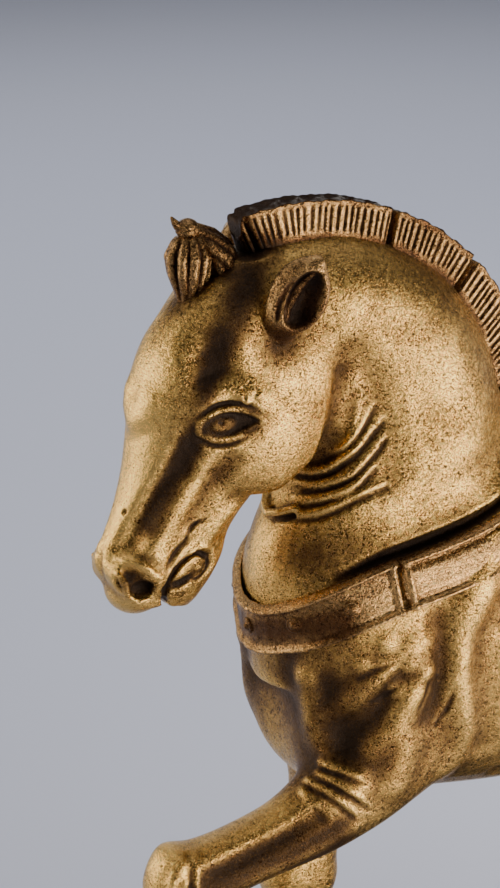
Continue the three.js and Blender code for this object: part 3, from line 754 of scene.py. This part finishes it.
def mouth(clay, side):
    """The lips' line, its curled corner with a bead in it, and the folds above."""
    strokes(clay, side, [
        (-1.1, 1.3, 0.4, [(-97, 139), (-96.6, 143), (-94.2, 147), (-90.2, 149.2), (-87, 147.6)], 0.12),
        (-0.6, 1.5, 0.6, [(-96.8, 146.6), (-95, 150.2), (-91, 153.4)]),
        (-0.6, 1.0, 0.3, [(-87, 147.8), (-86.6, 145.4), (-88, 143.2), (-91, 143)]),
        (-1.0, 2.2, 0.6, [(-96.4, 142.6), (-93.4, 142.9), (-90.8, 144)]),
        (0.5, 1.3, 0.4, [(-95.6, 145), (-93, 148.4), (-89.6, 150.6), (-86, 149.2)]),
        (0.5, 1.4, 0.5, [(-85.4, 148.6), (-84.8, 145.4), (-86.4, 142.4)]),
    ])
    clay.lump(-89.4, 146, side, 1.15, 0.7, blend=0.3)
    strokes(clay, side, [(-0.4, 0.8, 0.4, [(-93, 152), (-91, 155.6), (-88, 157)])])


def sculpt_head(clay):
    """The lips and chin, then each side's features."""
    clay.ball((-101, 0, 140.3), (5.6, 6.8, 4.8), blend=2.0)
    clay.ball((-90.8, 0, 139.6), (4.8, 5.6, 4.6), blend=1.5)
    for x, z, radius in ((-96, 135.4, 1.6), (-96.3, 137.4, 0.9), (-96.4, 139, 0.6)):
        clay.path([(x, -9, z, radius), (x, 9, z, radius)], blend=0.8, cut=True)
    clay.path([(-109.8, 0, 151, 1.6), (-108.6, 0, 143, 1.0)], blend=1.2, cut=True)
    for side in SIDES:
        strokes(clay, side, [(0.7, 6, 2.5, [(-99, 183), (-101.5, 173), (-104, 163), (-107.5, 154)])])
        cheek(clay, side)
        nostril(clay, side)
        mouth(clay, side)
        eye(clay, side)


# ---- The neck ----

THROAT_FOLDS = [
    [(-67, 163), (-61.5, 164.8), (-56.6, 168), (-52.5, 172), (-49.8, 176.5)],
    [(-66, 160), (-60.6, 162), (-57, 165), (-52, 169), (-47.8, 173.5)],
    [(-64.5, 157.8), (-59.4, 160), (-55, 162.4), (-50, 166.5), (-47.5, 169.5)],
    [(-65, 155), (-60.4, 156.8), (-55.3, 159.5), (-50.4, 163.6)],
    [(-67, 151.8), (-62.4, 153.4), (-58, 155.8), (-54, 158), (-48.5, 159.6)],
]


def throat(clay, side):
    """Five skin folds running up from the throat behind the cheek."""
    for line in THROAT_FOLDS:
        below = [(x + 0.5, z - 1.3) for x, z in line]
        strokes(clay, side, [(0.38, 1.3, 0.9, line, 0.4), (-0.4, 0.9, 0.7, below, 0.4)])
    strokes(clay, side, [(-0.6, 2.2, 1.2, [(-58, 168.5), (-55.4, 173), (-53.8, 179)])])


def sculpt_neck(clay):
    """The neck's muscles, its groove over the collar, the throat and the fold across it."""
    for side in SIDES:
        strokes(clay, side, [
            (-1.0, 12, 5.0, [(-55, 187), (-51.5, 180), (-49, 171), (-48, 163)]),
            (0.8, 18, 7.0, [(-52, 201), (-40, 196), (-31, 186), (-27, 174), (-30, 162)]),
        ])
        rim = [(x, z + COLLAR_HALF + 0.7) for x, z in COLLAR_LINE[3:]]
        strokes(clay, side, [(-1.6, 3.0, 0.8, rim, 0.3)])
        throat(clay, side)
    loop = [(-64.6, -6, 153.6), (-66.8, -3, 152), (-67.8, 0, 151.2), (-66.8, 3, 152), (-64.6, 6, 153.6)]
    clay.path([(*p, 0.9) for p in loop], blend=0.6)
    clay.path([(x - 0.2, y, z - 1.8, 0.7) for x, y, z in loop], blend=0.4, cut=True)
    clay.path([(x - 0.4, y, z + 1.7, 0.7) for x, y, z in loop], blend=0.4, cut=True)


def head_and_neck():
    """One clay with the body's front blended in, cut off at the seam under the collar."""
    clay = Clay((-116, -30, 112), (14, 30, 216), grid_step(0.36))
    clay.add_loft(NECK, power=NECK_POWER)
    clay.add_loft(HEAD, blend=5.0)
    clay.add_loft(TORSO, blend=6.0, power=TORSO_POWER)
    sculpt_neck(clay)
    sculpt_head(clay)
    whole = clay.copy()
    clay.keep_beyond(*NECK_SEAM)
    cast(clay, "head_and_neck", GILT, "head_and_neck_casting", around=whole)


# ---- The body and the legs ----

def chest(clay):
    """The breast's muscles and the loose skin over them."""
    for side in SIDES:
        clay.ball((-54.5, side * 8, 100.5), (7.5, 8, 12.5), turned(y=-12), blend=7.0)
        strokes(clay, side, [
            (0.5, 6, 3.5, [(-66, 118), (-65, 110), (-63.5, 102), (-60, 94)]),
            (-0.4, 8, 4.0, [(-63.5, 115), (-61.5, 107), (-59.5, 101)]),
            (0.55, 5, 2.5, [(-47.5, 123.5), (-53, 119), (-58, 114), (-62, 108.5)]),
            (-0.6, 5, 3.0, [(-46.5, 118.5), (-52, 112), (-56.5, 106.5), (-60, 101.5)]),
            (0.6, 4, 2.5, [(-46, 113), (-50.5, 106), (-55, 101)]),
            (-0.8, 6, 3.5, [(-40.5, 129.5), (-39.8, 122), (-40.8, 114), (-44, 107)]),
            (1.0, 7, 3.5, [(-30.5, 135), (-33.5, 126), (-34.5, 117), (-33, 108), (-31, 98), (-34, 91)]),
            (-0.8, 7, 4.0, [(-25, 130), (-28, 118), (-27, 107), (-26.5, 96)]),
            (0.7, 7, 4.0, [(-44, 124), (-45, 112), (-48, 101), (-50, 93)]),
        ])
        for x, z, size, height in ((-67, 117, 2.4, 0.3), (-52, 126, 2, 0.4), (-57, 121, 1.6, 0.4),
                                   (-47, 120, 1.8, 0.4), (-50, 115, 1.5, 0.4), (-43, 118, 1.5, 0.3)):
            clay.lump(x, z, side, size, height, blend=2.0)
        creases = ([(-55, 112), (-52, 113.5), (-49.5, 116)], [(-45.5, 109), (-43.5, 112), (-42.4, 116)],
                   [(-58, 118), (-55, 120), (-51, 121.5)], [(-40, 104), (-37.5, 108), (-36.6, 113)])
        strokes(clay, side, [(-0.4, 0.9, 0.6, line) for line in creases])


def arm_wrinkles(clay, side):
    """Skin puckered in a fan where the raised foreleg leaves the breast."""
    fan = [
        [(-67.5, 97.5), (-65.5, 98), (-62.5, 97.6), (-59, 96)],
        [(-68.2, 96), (-65, 95.6), (-61.5, 93), (-57, 89)],
        [(-69, 94.8), (-66.5, 93.6), (-63.4, 90.6), (-60, 87)],
        [(-69.6, 93.6), (-69.4, 91.6), (-67.6, 88.6)],
    ]
    for line in fan:
        strokes(clay, side, [
            (0.6, 1.7, 1.0, line),
            (-0.4, 1.0, 0.7, [(x + 0.2, z - 1.4) for x, z in line]),
        ])
    strokes(clay, side, [
        (-0.8, 4, 2.4, [(-69, 88), (-77, 85), (-87, 82.4), (-96, 81)]),
        (0.6, 3.5, 2.0, [(-60, 84), (-70, 80.5), (-82, 77.5), (-94, 75.5)]),
    ])


def barrel(clay):
    """Shoulder blade, ribs, flank, haunch and the folds between them."""
    between_ribs = [-12 + 8.5 * i for i in range(6)]
    for side in SIDES:
        strokes(clay, side, [
            (1.3, 10, 4.0, [(-22, 152), (-27, 142), (-31, 132)]),
            (-0.9, 6, 3.5, [(-12, 150), (-17, 138), (-22, 126)]),
            *[(-0.16, 5, 4.0, [(x, 132), (x + 1.5, 118), (x - 2, 104)]) for x in between_ribs],
            (-1.6, 11, 5.0, [(46, 141), (47, 128), (46, 114), (42, 100)]),
            (1.6, 12, 5.0, [(60, 150), (70, 140), (77, 128), (79, 115)]),
            (1.0, 10, 4.0, [(54, 136), (58, 122), (58, 108), (56, 97)]),
            (-1.2, 4, 2.5, [(88, 138), (88.5, 124), (86, 108), (82, 94)]),
            (-0.9, 3, 1.6, [(43, 110), (45, 102), (50, 94)]),
            (-0.8, 3.5, 2.5, [(-18, 84), (6, 80), (30, 82)]),
        ])
    clay.path([(-28, 0, 163, 1.5), (0, 0, 164.5, 1.2), (40, 0, 158.5, 1.2), (62, 0, 161, 1.4),
               (84, 0, 157.5, 1.4)], blend=4.0)
    clay.path([(52, 0, 164.5, 1.6), (72, 0, 163, 1.6)], blend=3.0, cut=True)


def across(row, share):
    """The (x, z) of a section's row, from its front, 0, to its back, 1."""
    return tuple(row[0:2] * (1 - share) + row[2:4] * share)


def limb_details(clay, sections, knee, fetlock):
    """Tendon grooves, a knobbly joint, and the coronet over the hoof."""
    side = -1 if sections[0][5] < 0 else 1
    rows = [np.array(row, float) for row in sections]
    strokes(clay, side, [
        (-0.8, 1.8, 0.9, [across(row, 0.62) for row in rows[knee + 1:fetlock + 1]]),
        (-0.5, 1.4, 0.9, [across(row, 0.3) for row in rows[knee + 1:fetlock]]),
    ])
    for t, z_share in ((0.25, 0.2), (0.45, 0.6), (0.7, 0.35)):
        spot = rows[knee] * (1 - z_share) + rows[knee + 1] * z_share
        clay.lump(*across(spot, t), side, 2.4, 0.5, blend=1.0)
    clay.lump(*across(rows[fetlock], 0.6), side, 2.6, 0.6, blend=1.2)
    top, rim = rows[-3], rows[-2]
    coronet = top * 0.75 + rim * 0.25
    clay.ring(coronet, 0.9, -0.2, blend=0.5)
    clay.ring(top * 1.15 - rim * 0.15, 0.8, 0.5, blend=0.5, cut=True)


def body_clay():
    """The whole body with its legs, before it is parted."""
    clay = Clay((-112, -34, -2), (104, 34, 170), grid_step(0.55))
    clay.add_loft(TORSO, power=TORSO_POWER)
    for _, _, sections in LEG_SEAMS.values():
        clay.add_loft(sections, blend=5.0)
    clay.add_loft(NECK, blend=6.0, power=NECK_POWER)
    chest(clay)
    arm_wrinkles(clay, -1)
    barrel(clay)
    for _, _, sections in LEG_SEAMS.values():
        knee = 6 if sections is LEFT_FORELEG else 5
        limb_details(clay, sections, knee, knee + 4)
    strokes(clay, -1, [
        (-0.8, 1.6, 0.8, [(-98.5, 85.5), (-99.8, 80), (-98.5, 74)]),
        (0.9, 2.6, 1.0, [(-101.5, 84.5), (-103.6, 80), (-102.6, 75.5)]),
    ])
    return clay


def body_and_legs():
    """Part the body from the neck and from each leg, and mesh them."""
    clay = body_clay()
    body = clay.copy()
    point, axis = NECK_SEAM
    body.keep_beyond(point, [-v for v in axis], -LAP)
    for name, (point, axis, sections) in LEG_SEAMS.items():
        beyond = clay.beyond(point, axis)
        near = clay.loft_field(sections, grow=4.0)
        leg = clay.copy()
        leg.field = np.maximum(clay.field, np.maximum(near, -beyond))
        body.field = np.maximum(body.field, -np.maximum(near, LAP - beyond))
        cast(leg, name + "_cast", GILT, name, around=clay)
    cast(body, "body", GILT, "body_casting", around=clay)


def strands(turn, share):
    """How far the tail's hair stands out: twisting locks, and finer hairs on them."""
    lock = np.abs(np.sin(4 * turn + 5 * share + 1.5 * np.sin(9 * share)))
    hair = np.abs(np.sin(13 * turn + 9 * share + 2 * np.sin(5 * share)))
    return 0.84 + 0.15 * lock**0.6 + 0.05 * hair


def tail():
    """A thick switch of twisting strands, tied once."""
    clay = Clay((80, -14, 44), (120, 14, 162), grid_step(0.35))
    clay.add_loft(TAIL, around=200, per_span=24, ripple=strands)
    tie = [115.5, 106.5, 96.5, 104, 7.4, 0]
    for lift in (-1.1, 1.1):
        row = [tie[0], tie[1] + lift, tie[2], tie[3] + lift, tie[4], 0]
        clay.ring(row, 1.3, 0.2, blend=0.2)
    body = clay.loft_field(TORSO, grow=-0.5, power=TORSO_POWER)
    clay.field = np.maximum(clay.field, -body)
    cast(clay, "tail_cast", GILT, "tail")


# ---- The collar ----

def collar():
    """The studded band and the strap: a shell over the neck with rolled rims, parted in two."""
    clay = Clay((-82, -34, 112), (18, 34, 176), grid_step(0.32))
    former = smooth_min(clay.loft_field(NECK, grow=STAND_OFF, power=NECK_POWER),
                        clay.loft_field(TORSO, grow=GAP, power=TORSO_POWER), 4.0)
    line = curve_through(COLLAR_LINE, 12)
    x, z = clay.axes[0][:, None, None], clay.axes[2][None, None, :]
    height = z - np.interp(x, line[:, 0], line[:, 1]).astype(np.float32)
    rear = np.clip((x - COLLAR_SPLIT) * 2, 0, 1)
    rim = np.clip(1.6 - np.abs(np.abs(height) - 5.1 + 0.3 * rear) * 1.9, 0, 1)
    thickness = 1.0 + 0.95 * rim**0.7 + 0.5 * rear * np.clip(3.4 - np.abs(height), 0, 1)
    band = smooth_max(former - thickness, np.abs(height) - COLLAR_HALF + 0.4 * rear, 0.6)
    whole = clay.copy()
    whole.field = np.maximum(band, -former) + 0 * clay.axes[1][None, :, None]
    for side in SIDES:
        buckle = [(COLLAR_SPLIT - 1.4, 143), (COLLAR_SPLIT - 1.1, 138), (COLLAR_SPLIT - 0.6, 133.5)]
        strokes(whole, side, [
            (0.8, 1.7, 0.4, buckle, 0.1),
            (0.8, 1.7, 0.4, [(x + 3, z + 0.8) for x, z in buckle], 0.1),
            (-1.3, 1.1, 0.3, [(x + 1.4, z + 0.4) for x, z in buckle], 0.1),
        ])
    for name, node, direction in (("collar_front", "collar_front_band", -1),
                                  ("collar_rear", "collar_rear_strap", 1)):
        part = whole.copy()
        part.keep_beyond((COLLAR_SPLIT, 0, 0), (direction, 0, 0), 0.05)
        cast(part, name, DARK, node, slot="dark_bronze", around=whole)
    places = {"front": ((-90, 0, 125.5), (1, 0, 0))}
    for word, side in (("left", -1), ("right", 1)):
        places[word + "_1"] = ((-68.5, CLEAR_Y * side, 129.5), (0, -side, 0))
        places[word + "_2"] = ((-59, CLEAR_Y * side, 134.4), (0, -side, 0))
    for name, (start, direction) in places.items():
        point, normal = whole.first_skin(start, direction)
        rosette("boss_" + name, point, normal, "collar_boss_" + name)


def rosette(name, point, normal, node):
    """A small cast boss: a domed button inside a ring."""
    clay = Clay(point - 3.5, point + 3.5, grid_step(0.12))
    level = np.cross(normal, (0, 0, 1))
    level = level / np.linalg.norm(level)
    turn = np.stack([level, np.cross(normal, level), normal], -1)
    clay.ball(point, (1.9, 1.9, 0.75), turn, blend=0)
    up = turn[:, 1]
    circle = np.linspace(0, math.tau, 25)
    ring = [point + 1.25 * (level * math.cos(t) + up * math.sin(t)) + normal * 0.75 for t in circle]
    clay.path([(*p, 0.32) for p in ring], blend=0.1, cut=True)
    clay.ball(point + normal * 0.55, (0.75, 0.75, 0.6), turn, blend=0.15)
    cast(clay, name, DARK, node, slot="gilt_bronze")


# ---- Mane, forelock and ears ----

def tube(name, rings):
    """An object with its skin through rings, the quads split into triangles."""
    points, triangles, quads = closed_skin(rings)
    halves = np.vstack([quads[:, [0, 1, 2]], quads[:, [0, 2, 3]]])
    return object_from(name, points, np.vstack([halves, triangles]))


def mane_ring(place, narrow, top, root, rib, crease):
    """One ring of the mane, how hollow its points are and where shade is painted on it; a rib has strength,
    lean and foot.
    """
    rise = np.subtract(top, root)
    tall = math.hypot(*rise)
    up = rise / tall
    strength, lean, foot = rib
    heights = np.concatenate([[-2.6], np.linspace(-1.2, tall - 0.25, 26)])
    fade = np.clip((heights - foot) / 0.9, 0, 1) * np.clip((tall - 1.1 - heights) / 0.5, 0, 1)
    slanted = rib_phase(place) % 1 + lean * (heights / tall - 0.5)
    gap = np.abs((slanted + 0.5) % 1 - 0.5)
    cut = np.exp(-(gap / 0.17) ** 2) * fade * strength
    lip = np.clip((heights - tall + 1.1) / 0.3, 0, 1)
    half = MANE_HALF - 0.4 * heights / tall - RIB_DEPTH * cut + 0.12 * lip - crease
    half = half * (0.25 + 0.75 * narrow)
    over = np.linspace(1, -1, CROWN_POINTS)
    rough = 0.18 * math.sin(place * 0.9) * math.sin(place * 0.37 + 1) + 0.06 * math.sin(place * 3.1)
    crown = tall + rough - 0.4 * (1 - over**4) + 0.1 * np.sin(5 * over + place * 1.3)
    crown = crown - 1.4 * (1 - narrow)
    height = np.concatenate([heights, crown, heights[::-1]])
    y = np.concatenate([-half, -half[-1] * over * 0.97, half[::-1]])
    ring = np.stack([root[0] + up[0] * height, y, root[1] + up[1] * height], -1)
    # Darker in the rib gaps, brighter on the ribs; the lip is darkened a little as painted shade.
    fine = 0.42 * cut - 0.16 * (1 - cut) * fade + 0.05 * lip
    # Patina and painted shade towards the root, where the mane meets the neck.
    wide = np.clip((1.2 - heights) / 1.6, 0, 1) * 0.35
    # The flat top is darkened as painted shade.
    return (ring, np.concatenate([fine, np.full(CROWN_POINTS, 0.15), fine[::-1]]),
            np.concatenate([wide, np.full(CROWN_POINTS, 0.34), wide[::-1]]))


def rib_phase(place):
    return place / RIB_PITCH + 0.12 * math.sin(place * 0.9)


def mane():
    """Four clipped lengths, ribbed down both sides under a plain rim, rough along the top."""
    top, root = curve_through(MANE_TOP, MANE_STEPS), curve_through(MANE_ROOT, MANE_STEPS)
    steps = np.linalg.norm(np.diff((top + root) / 2, axis=0), axis=1)
    run = np.concatenate([[0], np.cumsum(steps)])
    rng = np.random.default_rng(7)
    ribs = np.stack([rng.uniform(low, high, 200) for low, high in RIB_RANGES], -1)
    for number in range(4):
        start, end = (int(MANE_JOINTS[number + i] * (len(top) - 1)) for i in (0, 1))
        keep = slice(start + (2 if number else 0), end - 1)
        share = run[keep]
        near_end = np.minimum(share - share[0], share[-1] - share)
        reach = np.where((number == 0) & (share - share[0] < share[-1] - share), 2.6, 1.0)
        shrink = np.sqrt(1 - (1 - np.clip(near_end / reach, 0, 1)) ** 2)
        rings = []
        for place, narrow, above, below in zip(share, shrink, top[keep], root[keep]):
            crease = 1.1 * math.exp(-((place - 3.4) / 0.55) ** 2) if number == 0 else 0
            rings.append(mane_ring(place, narrow, above, below, ribs[int(rib_phase(place))], crease))
        rows, fine, wide = (np.array(part) for part in zip(*rings))
        piece = tube(f"mane_{number + 1}", rows)
        for name, values in (("fine_hollow_and_shade", fine), ("wide_hollow_and_shade", wide)):
            mark(piece, name, np.concatenate([values.ravel(), values[0, :1], values[-1, :1]]))
        ends = np.array([rows[0].mean(0), rows[-1].mean(0)])
        # Painted shade, painted highlights and patina, as on the cast pieces.
        mark(piece, "shade_highlight_and_patina", painted_shade_highlight_and_patina_at(np.vstack([rows.reshape(-1, 3), ends])))
        finish_piece(piece, DARK, f"mane_length_{number + 1}", slot="dark_bronze")


LOCK_STRANDS = {0: (0.5, 0.8), 1.6: (-0.2, 0.2), 2.6: (-1.6, -0.8)}  # y to lift and set-back


def forelock():
    """A tied tuft: a striated bulb, its knot with a spike, and a lock combed back."""
    clay = Clay((-97, -8, 197), (-70, 8, 222), grid_step(0.18))
    base, hairs = np.array([-86.3, 0, 200.5]), 12
    rng = np.random.default_rng(3)
    for k in range(hairs):
        angle = math.tau * (k + rng.uniform(-0.22, 0.22)) / hairs
        fat, twist = rng.uniform(0.85, 1.15), rng.uniform(-0.01, 0.07)
        points = []
        for rise, spread, thick in ((0, 1.7, 1.1), (3, 2.3, 1.05), (7, 3.6, 1.2), (10.5, 3.9, 1.2),
                                    (13.2, 2.7, 1.0), (15, 1.2, 0.8)):
            bend = angle + twist * rise
            points.append((base[0] - 0.03 * rise + spread * math.cos(bend), spread * math.sin(bend) * 0.95,
                           base[2] + rise, thick * fat))
        clay.path(points, blend=0.15)
    clay.path([(*base, 2.2), (-86.5, 0, 208, 3.5), (-86.6, 0, 211.5, 3.6), (-86.7, 0, 215, 1.4)], blend=0.2)
    tuft = clay.copy()
    tuft.keep_beyond((0, 0, 215.2), (0, 0, -1))
    cast(tuft, "forelock_bulb", DARK, "forelock_tuft", slot="dark_bronze")
    knot = Clay((-94, -4, 212), (-82, 4, 222), grid_step(0.15))
    knot.ball((-86.8, 0, 216.6), (2.5, 2.3, 2.3), blend=0)
    knot.path([(-88.6, 0, 216.8, 1.0), (-89.6, 0, 218.2, 0.8), (-90.4, 0, 219.4, 0.35)], blend=0.5)
    for lift in (-0.9, 0.5):
        knot.ring([-89.3, 216.2 + lift, -84.3, 216.9 + lift, 2.3, 0], 0.25, 0.1, blend=0.15, cut=True)
    cast(knot, "forelock_knot_cast", DARK, "forelock_knot", slot="dark_bronze")
    lock = Clay((-88, -6, 202), (-70, 6, 220), grid_step(0.18))
    for y in (-2.6, -1.6, 0, 1.6, 2.6):
        lift, back = LOCK_STRANDS[abs(y)]
        lock.path([(-84.8, y * 0.5, 216.4 + lift, 0.9), (-82 + back, y, 214.6 + lift, 1.25),
                   (-79 + back, y * 1.2, 211.8 + lift, 1.5), (-77.2 + back, y * 1.2, 208.6 + lift, 1.5),
                   (-78 + back, y, 205 + lift, 1.1)], blend=0.2)
    for y in (-2.4, 2.4):
        lock.path([(-84, y * 0.6, 214.6, 0.8), (-81.6, y, 211.6, 1.3), (-80.2, y * 1.1, 207, 1.3),
                   (-80.4, y, 203.5, 1.0)], blend=0.2)
    cast(lock, "forelock_lock_cast", DARK, "forelock_lock", slot="dark_bronze")


def ear(side):
    """A leaf-shaped ear laid back, its hollow turned outward with two folds inside."""
    centre = np.array([-70.4 if side < 0 else -67.4, side * 16.6, 204.4 if side < 0 else 203.6])
    clay = Clay(centre - 12.5, centre + 12.5, grid_step(0.18))
    axis = np.array([0.27, side * 0.24, 0.93])
    axis = axis / np.linalg.norm(axis)
    width = np.array([0.82, side * 0.54, -0.12])
    width = width - axis * (width @ axis)
    width = width / np.linalg.norm(width)
    out = np.array([-0.51, side * 0.84, 0.0])
    out = out - axis * (out @ axis) - width * (out @ width)
    out = out / np.linalg.norm(out)
    turn = np.stack([width, out, axis], -1)
    clay.ball(centre, (6.0, 2.8, 8.4), turn, blend=0)
    tip = [(0.3, -0.2, 4, 3.2), (0.6, 0, 6.4, 2.6), (0.8, 0.1, 7.6, 1.9)]
    root = [(-1.5, -1.5, -5, 4.0), (-1.5, -4, -9, 4.5)]
    fold = [(0.9, 1.0, 5.8, 0.4), (-0.7, 0.5, 2, 0.9), (-1.3, 0.5, -3, 0.9), (-0.8, 0.9, -6.2, 0.7)]
    gutter = [(-1.4, 2.9, 5.0, 0.5), (-2.7, 2.6, 1.5, 0.9), (-3.2, 2.5, -2.5, 0.9), (-2.6, 2.7, -5.5, 0.6)]

    def rod(points, blend, cut=False):
        clay.path([(*(centre + turn @ p[:3]), p[3]) for p in points], blend, cut)

    rod(tip, 1.2)
    rod(root, 2.0)
    clay.ball(centre + turn @ (1.5, 2.9, 0), (3.9, 4.0, 6.8), turn, blend=0.7, cut=True)
    rod(gutter, 0.4, cut=True)
    rod(fold, 0.5)
    head = clay.loft_field(HEAD, grow=-0.5)
    clay.field = np.maximum(clay.field, -head)
    name = "ear_left" if side < 0 else "ear_right"
    cast(clay, name + "_cast", DARK, name)


# ---- Stage, in metres ----

FLOOR_HALF = 4.0
LIT_POINT = Vector((-0.04, 0, (GROUND + 140) / 1000))  # the horse's breast, where the panels aim


def stage():
    """A plain pale floor."""
    mesh = bpy.data.meshes.new("floor")
    corners = [(x * FLOOR_HALF, y * FLOOR_HALF, 0) for x, y in ((-1, -1), (1, -1), (1, 1), (-1, 1))]
    mesh.from_pydata(corners, [], [(0, 1, 2, 3)])
    floor = bpy.data.objects.new("floor", mesh)
    bpy.context.scene.collection.objects.link(floor)
    n = Nodes("pale_floor")
    n.shader.inputs["Base Color"].default_value = (0.66, 0.69, 0.82, 1)
    n.shader.inputs["Roughness"].default_value = 0.9
    mesh.materials.append(n.material)
    return floor


def direction(azimuth, elevation):
    """A unit vector; azimuth counts from -Y towards +X, both in degrees."""
    a, e = math.radians(azimuth), math.radians(elevation)
    return Vector((math.sin(a) * math.cos(e), -math.cos(a) * math.cos(e), math.sin(e)))


def lamp(name, kind, watts, colour):
    """A lamp that faces straight down."""
    light = bpy.data.lights.new(name, kind)
    light.energy, light.color = watts, colour
    holder = bpy.data.objects.new(name, light)
    bpy.context.scene.collection.objects.link(holder)
    return holder


def panel(name, width, height, watts, colour, spread=110):
    holder = lamp(name, "AREA", watts, colour)
    holder.data.shape = "RECTANGLE"
    holder.data.size, holder.data.size_y = width, height
    holder.data.spread = math.radians(spread)
    return holder


def softbox(name, azimuth, elevation, distance, width, height, watts, colour):
    """A panel aimed at the horse."""
    holder = panel(name, width, height, watts, colour)
    back = direction(azimuth, elevation)
    holder.location = LIT_POINT + back * distance
    holder.rotation_euler = back.to_track_quat("Z", "Y").to_euler()
    return holder


def lights(floor):
    """Low warm panels that the metal mirrors, and lamps overhead for the floor."""
    world = bpy.data.worlds.new("studio")
    world.use_nodes = True
    background = world.node_tree.nodes["Background"]
    background.inputs["Color"].default_value = (1.0, 0.85, 0.72, 1)
    background.inputs["Strength"].default_value = 0.03
    bpy.context.scene.world = world
    keys = [softbox("front_key", 24, -9, 0.62, 0.36, 0.15, 1.45, (1.0, 0.92, 0.80)),
            softbox("right_fill", 66, -2, 0.95, 1.00, 0.36, 1.15, (1.0, 0.93, 0.83)),
            softbox("back_key", -120, 6, 0.90, 1.20, 0.30, 3.0, (1.0, 0.94, 0.82)),
            softbox("back_fill", 160, 7, 1.40, 1.20, 0.32, 0.9, (1.0, 0.96, 0.90))]
    link_lamps("not_lit_by_keys", floor, "EXCLUDE", keys)
    panel("floor_light", 1.6, 1.6, 6.4, (0.95, 0.96, 1.0)).location = (0.3, 0.7, 1.2)
    pool = panel("front_floor_light", 0.6, 0.6, 2.0, (1.0, 0.93, 0.82), 120)
    pool.location = (0.42, -0.15, 0.6)
    far = lamp("far_floor_light", "SUN", 0.5, (0.95, 0.96, 1.0))
    far.data.angle = math.radians(30)
    link_lamps("only_the_floor", floor, "INCLUDE", [pool, far])


def link_lamps(name, piece, state, lamps):
    """Let lamps light only this piece, or everything but this piece."""
    linked = bpy.data.collections.new(name)
    linked.objects.link(piece)
    linked.collection_objects[0].light_linking.link_state = state
    for holder in lamps:
        holder.light_linking.receiver_collection = linked


def camera():
    """A long lens, looking back and down at the head from the left front."""
    data = bpy.data.cameras.new("camera")
    data.lens, data.sensor_width, data.clip_start = 89.2, 36.0, 0.02
    eye = bpy.data.objects.new("camera", data)
    eye.location = Vector((-292.4, -381.4, 328.0 + GROUND)) / 1000
    eye.rotation_euler = direction(-30, 20).to_track_quat("Z", "Y").to_euler()
    bpy.context.scene.collection.objects.link(eye)
    bpy.context.scene.camera = eye


def carried_over():
    """The CAD pieces that keep their own shape get their materials."""
    looks = {"plinth": marble(), "baize_pad": baize()}
    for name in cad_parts:
        if name.endswith(("_stud", "_washer", "_nut")):
            looks[name] = STEEL
        elif name.endswith("_dowel") or name.startswith("neck_"):
            looks[name] = BRASS
        elif name.startswith(("mane", "forelock")):
            looks[name] = DARK
        looks.setdefault(name, GILT)
    for name, material in looks.items():
        piece = bpy.data.objects[name]
        for slot in piece.material_slots:
            slot.material = material


camera()
lights(stage())
head_and_neck()
body_and_legs()
tail()
collar()
mane()
forelock()
for ear_side in SIDES:
    ear(ear_side)
carried_over()
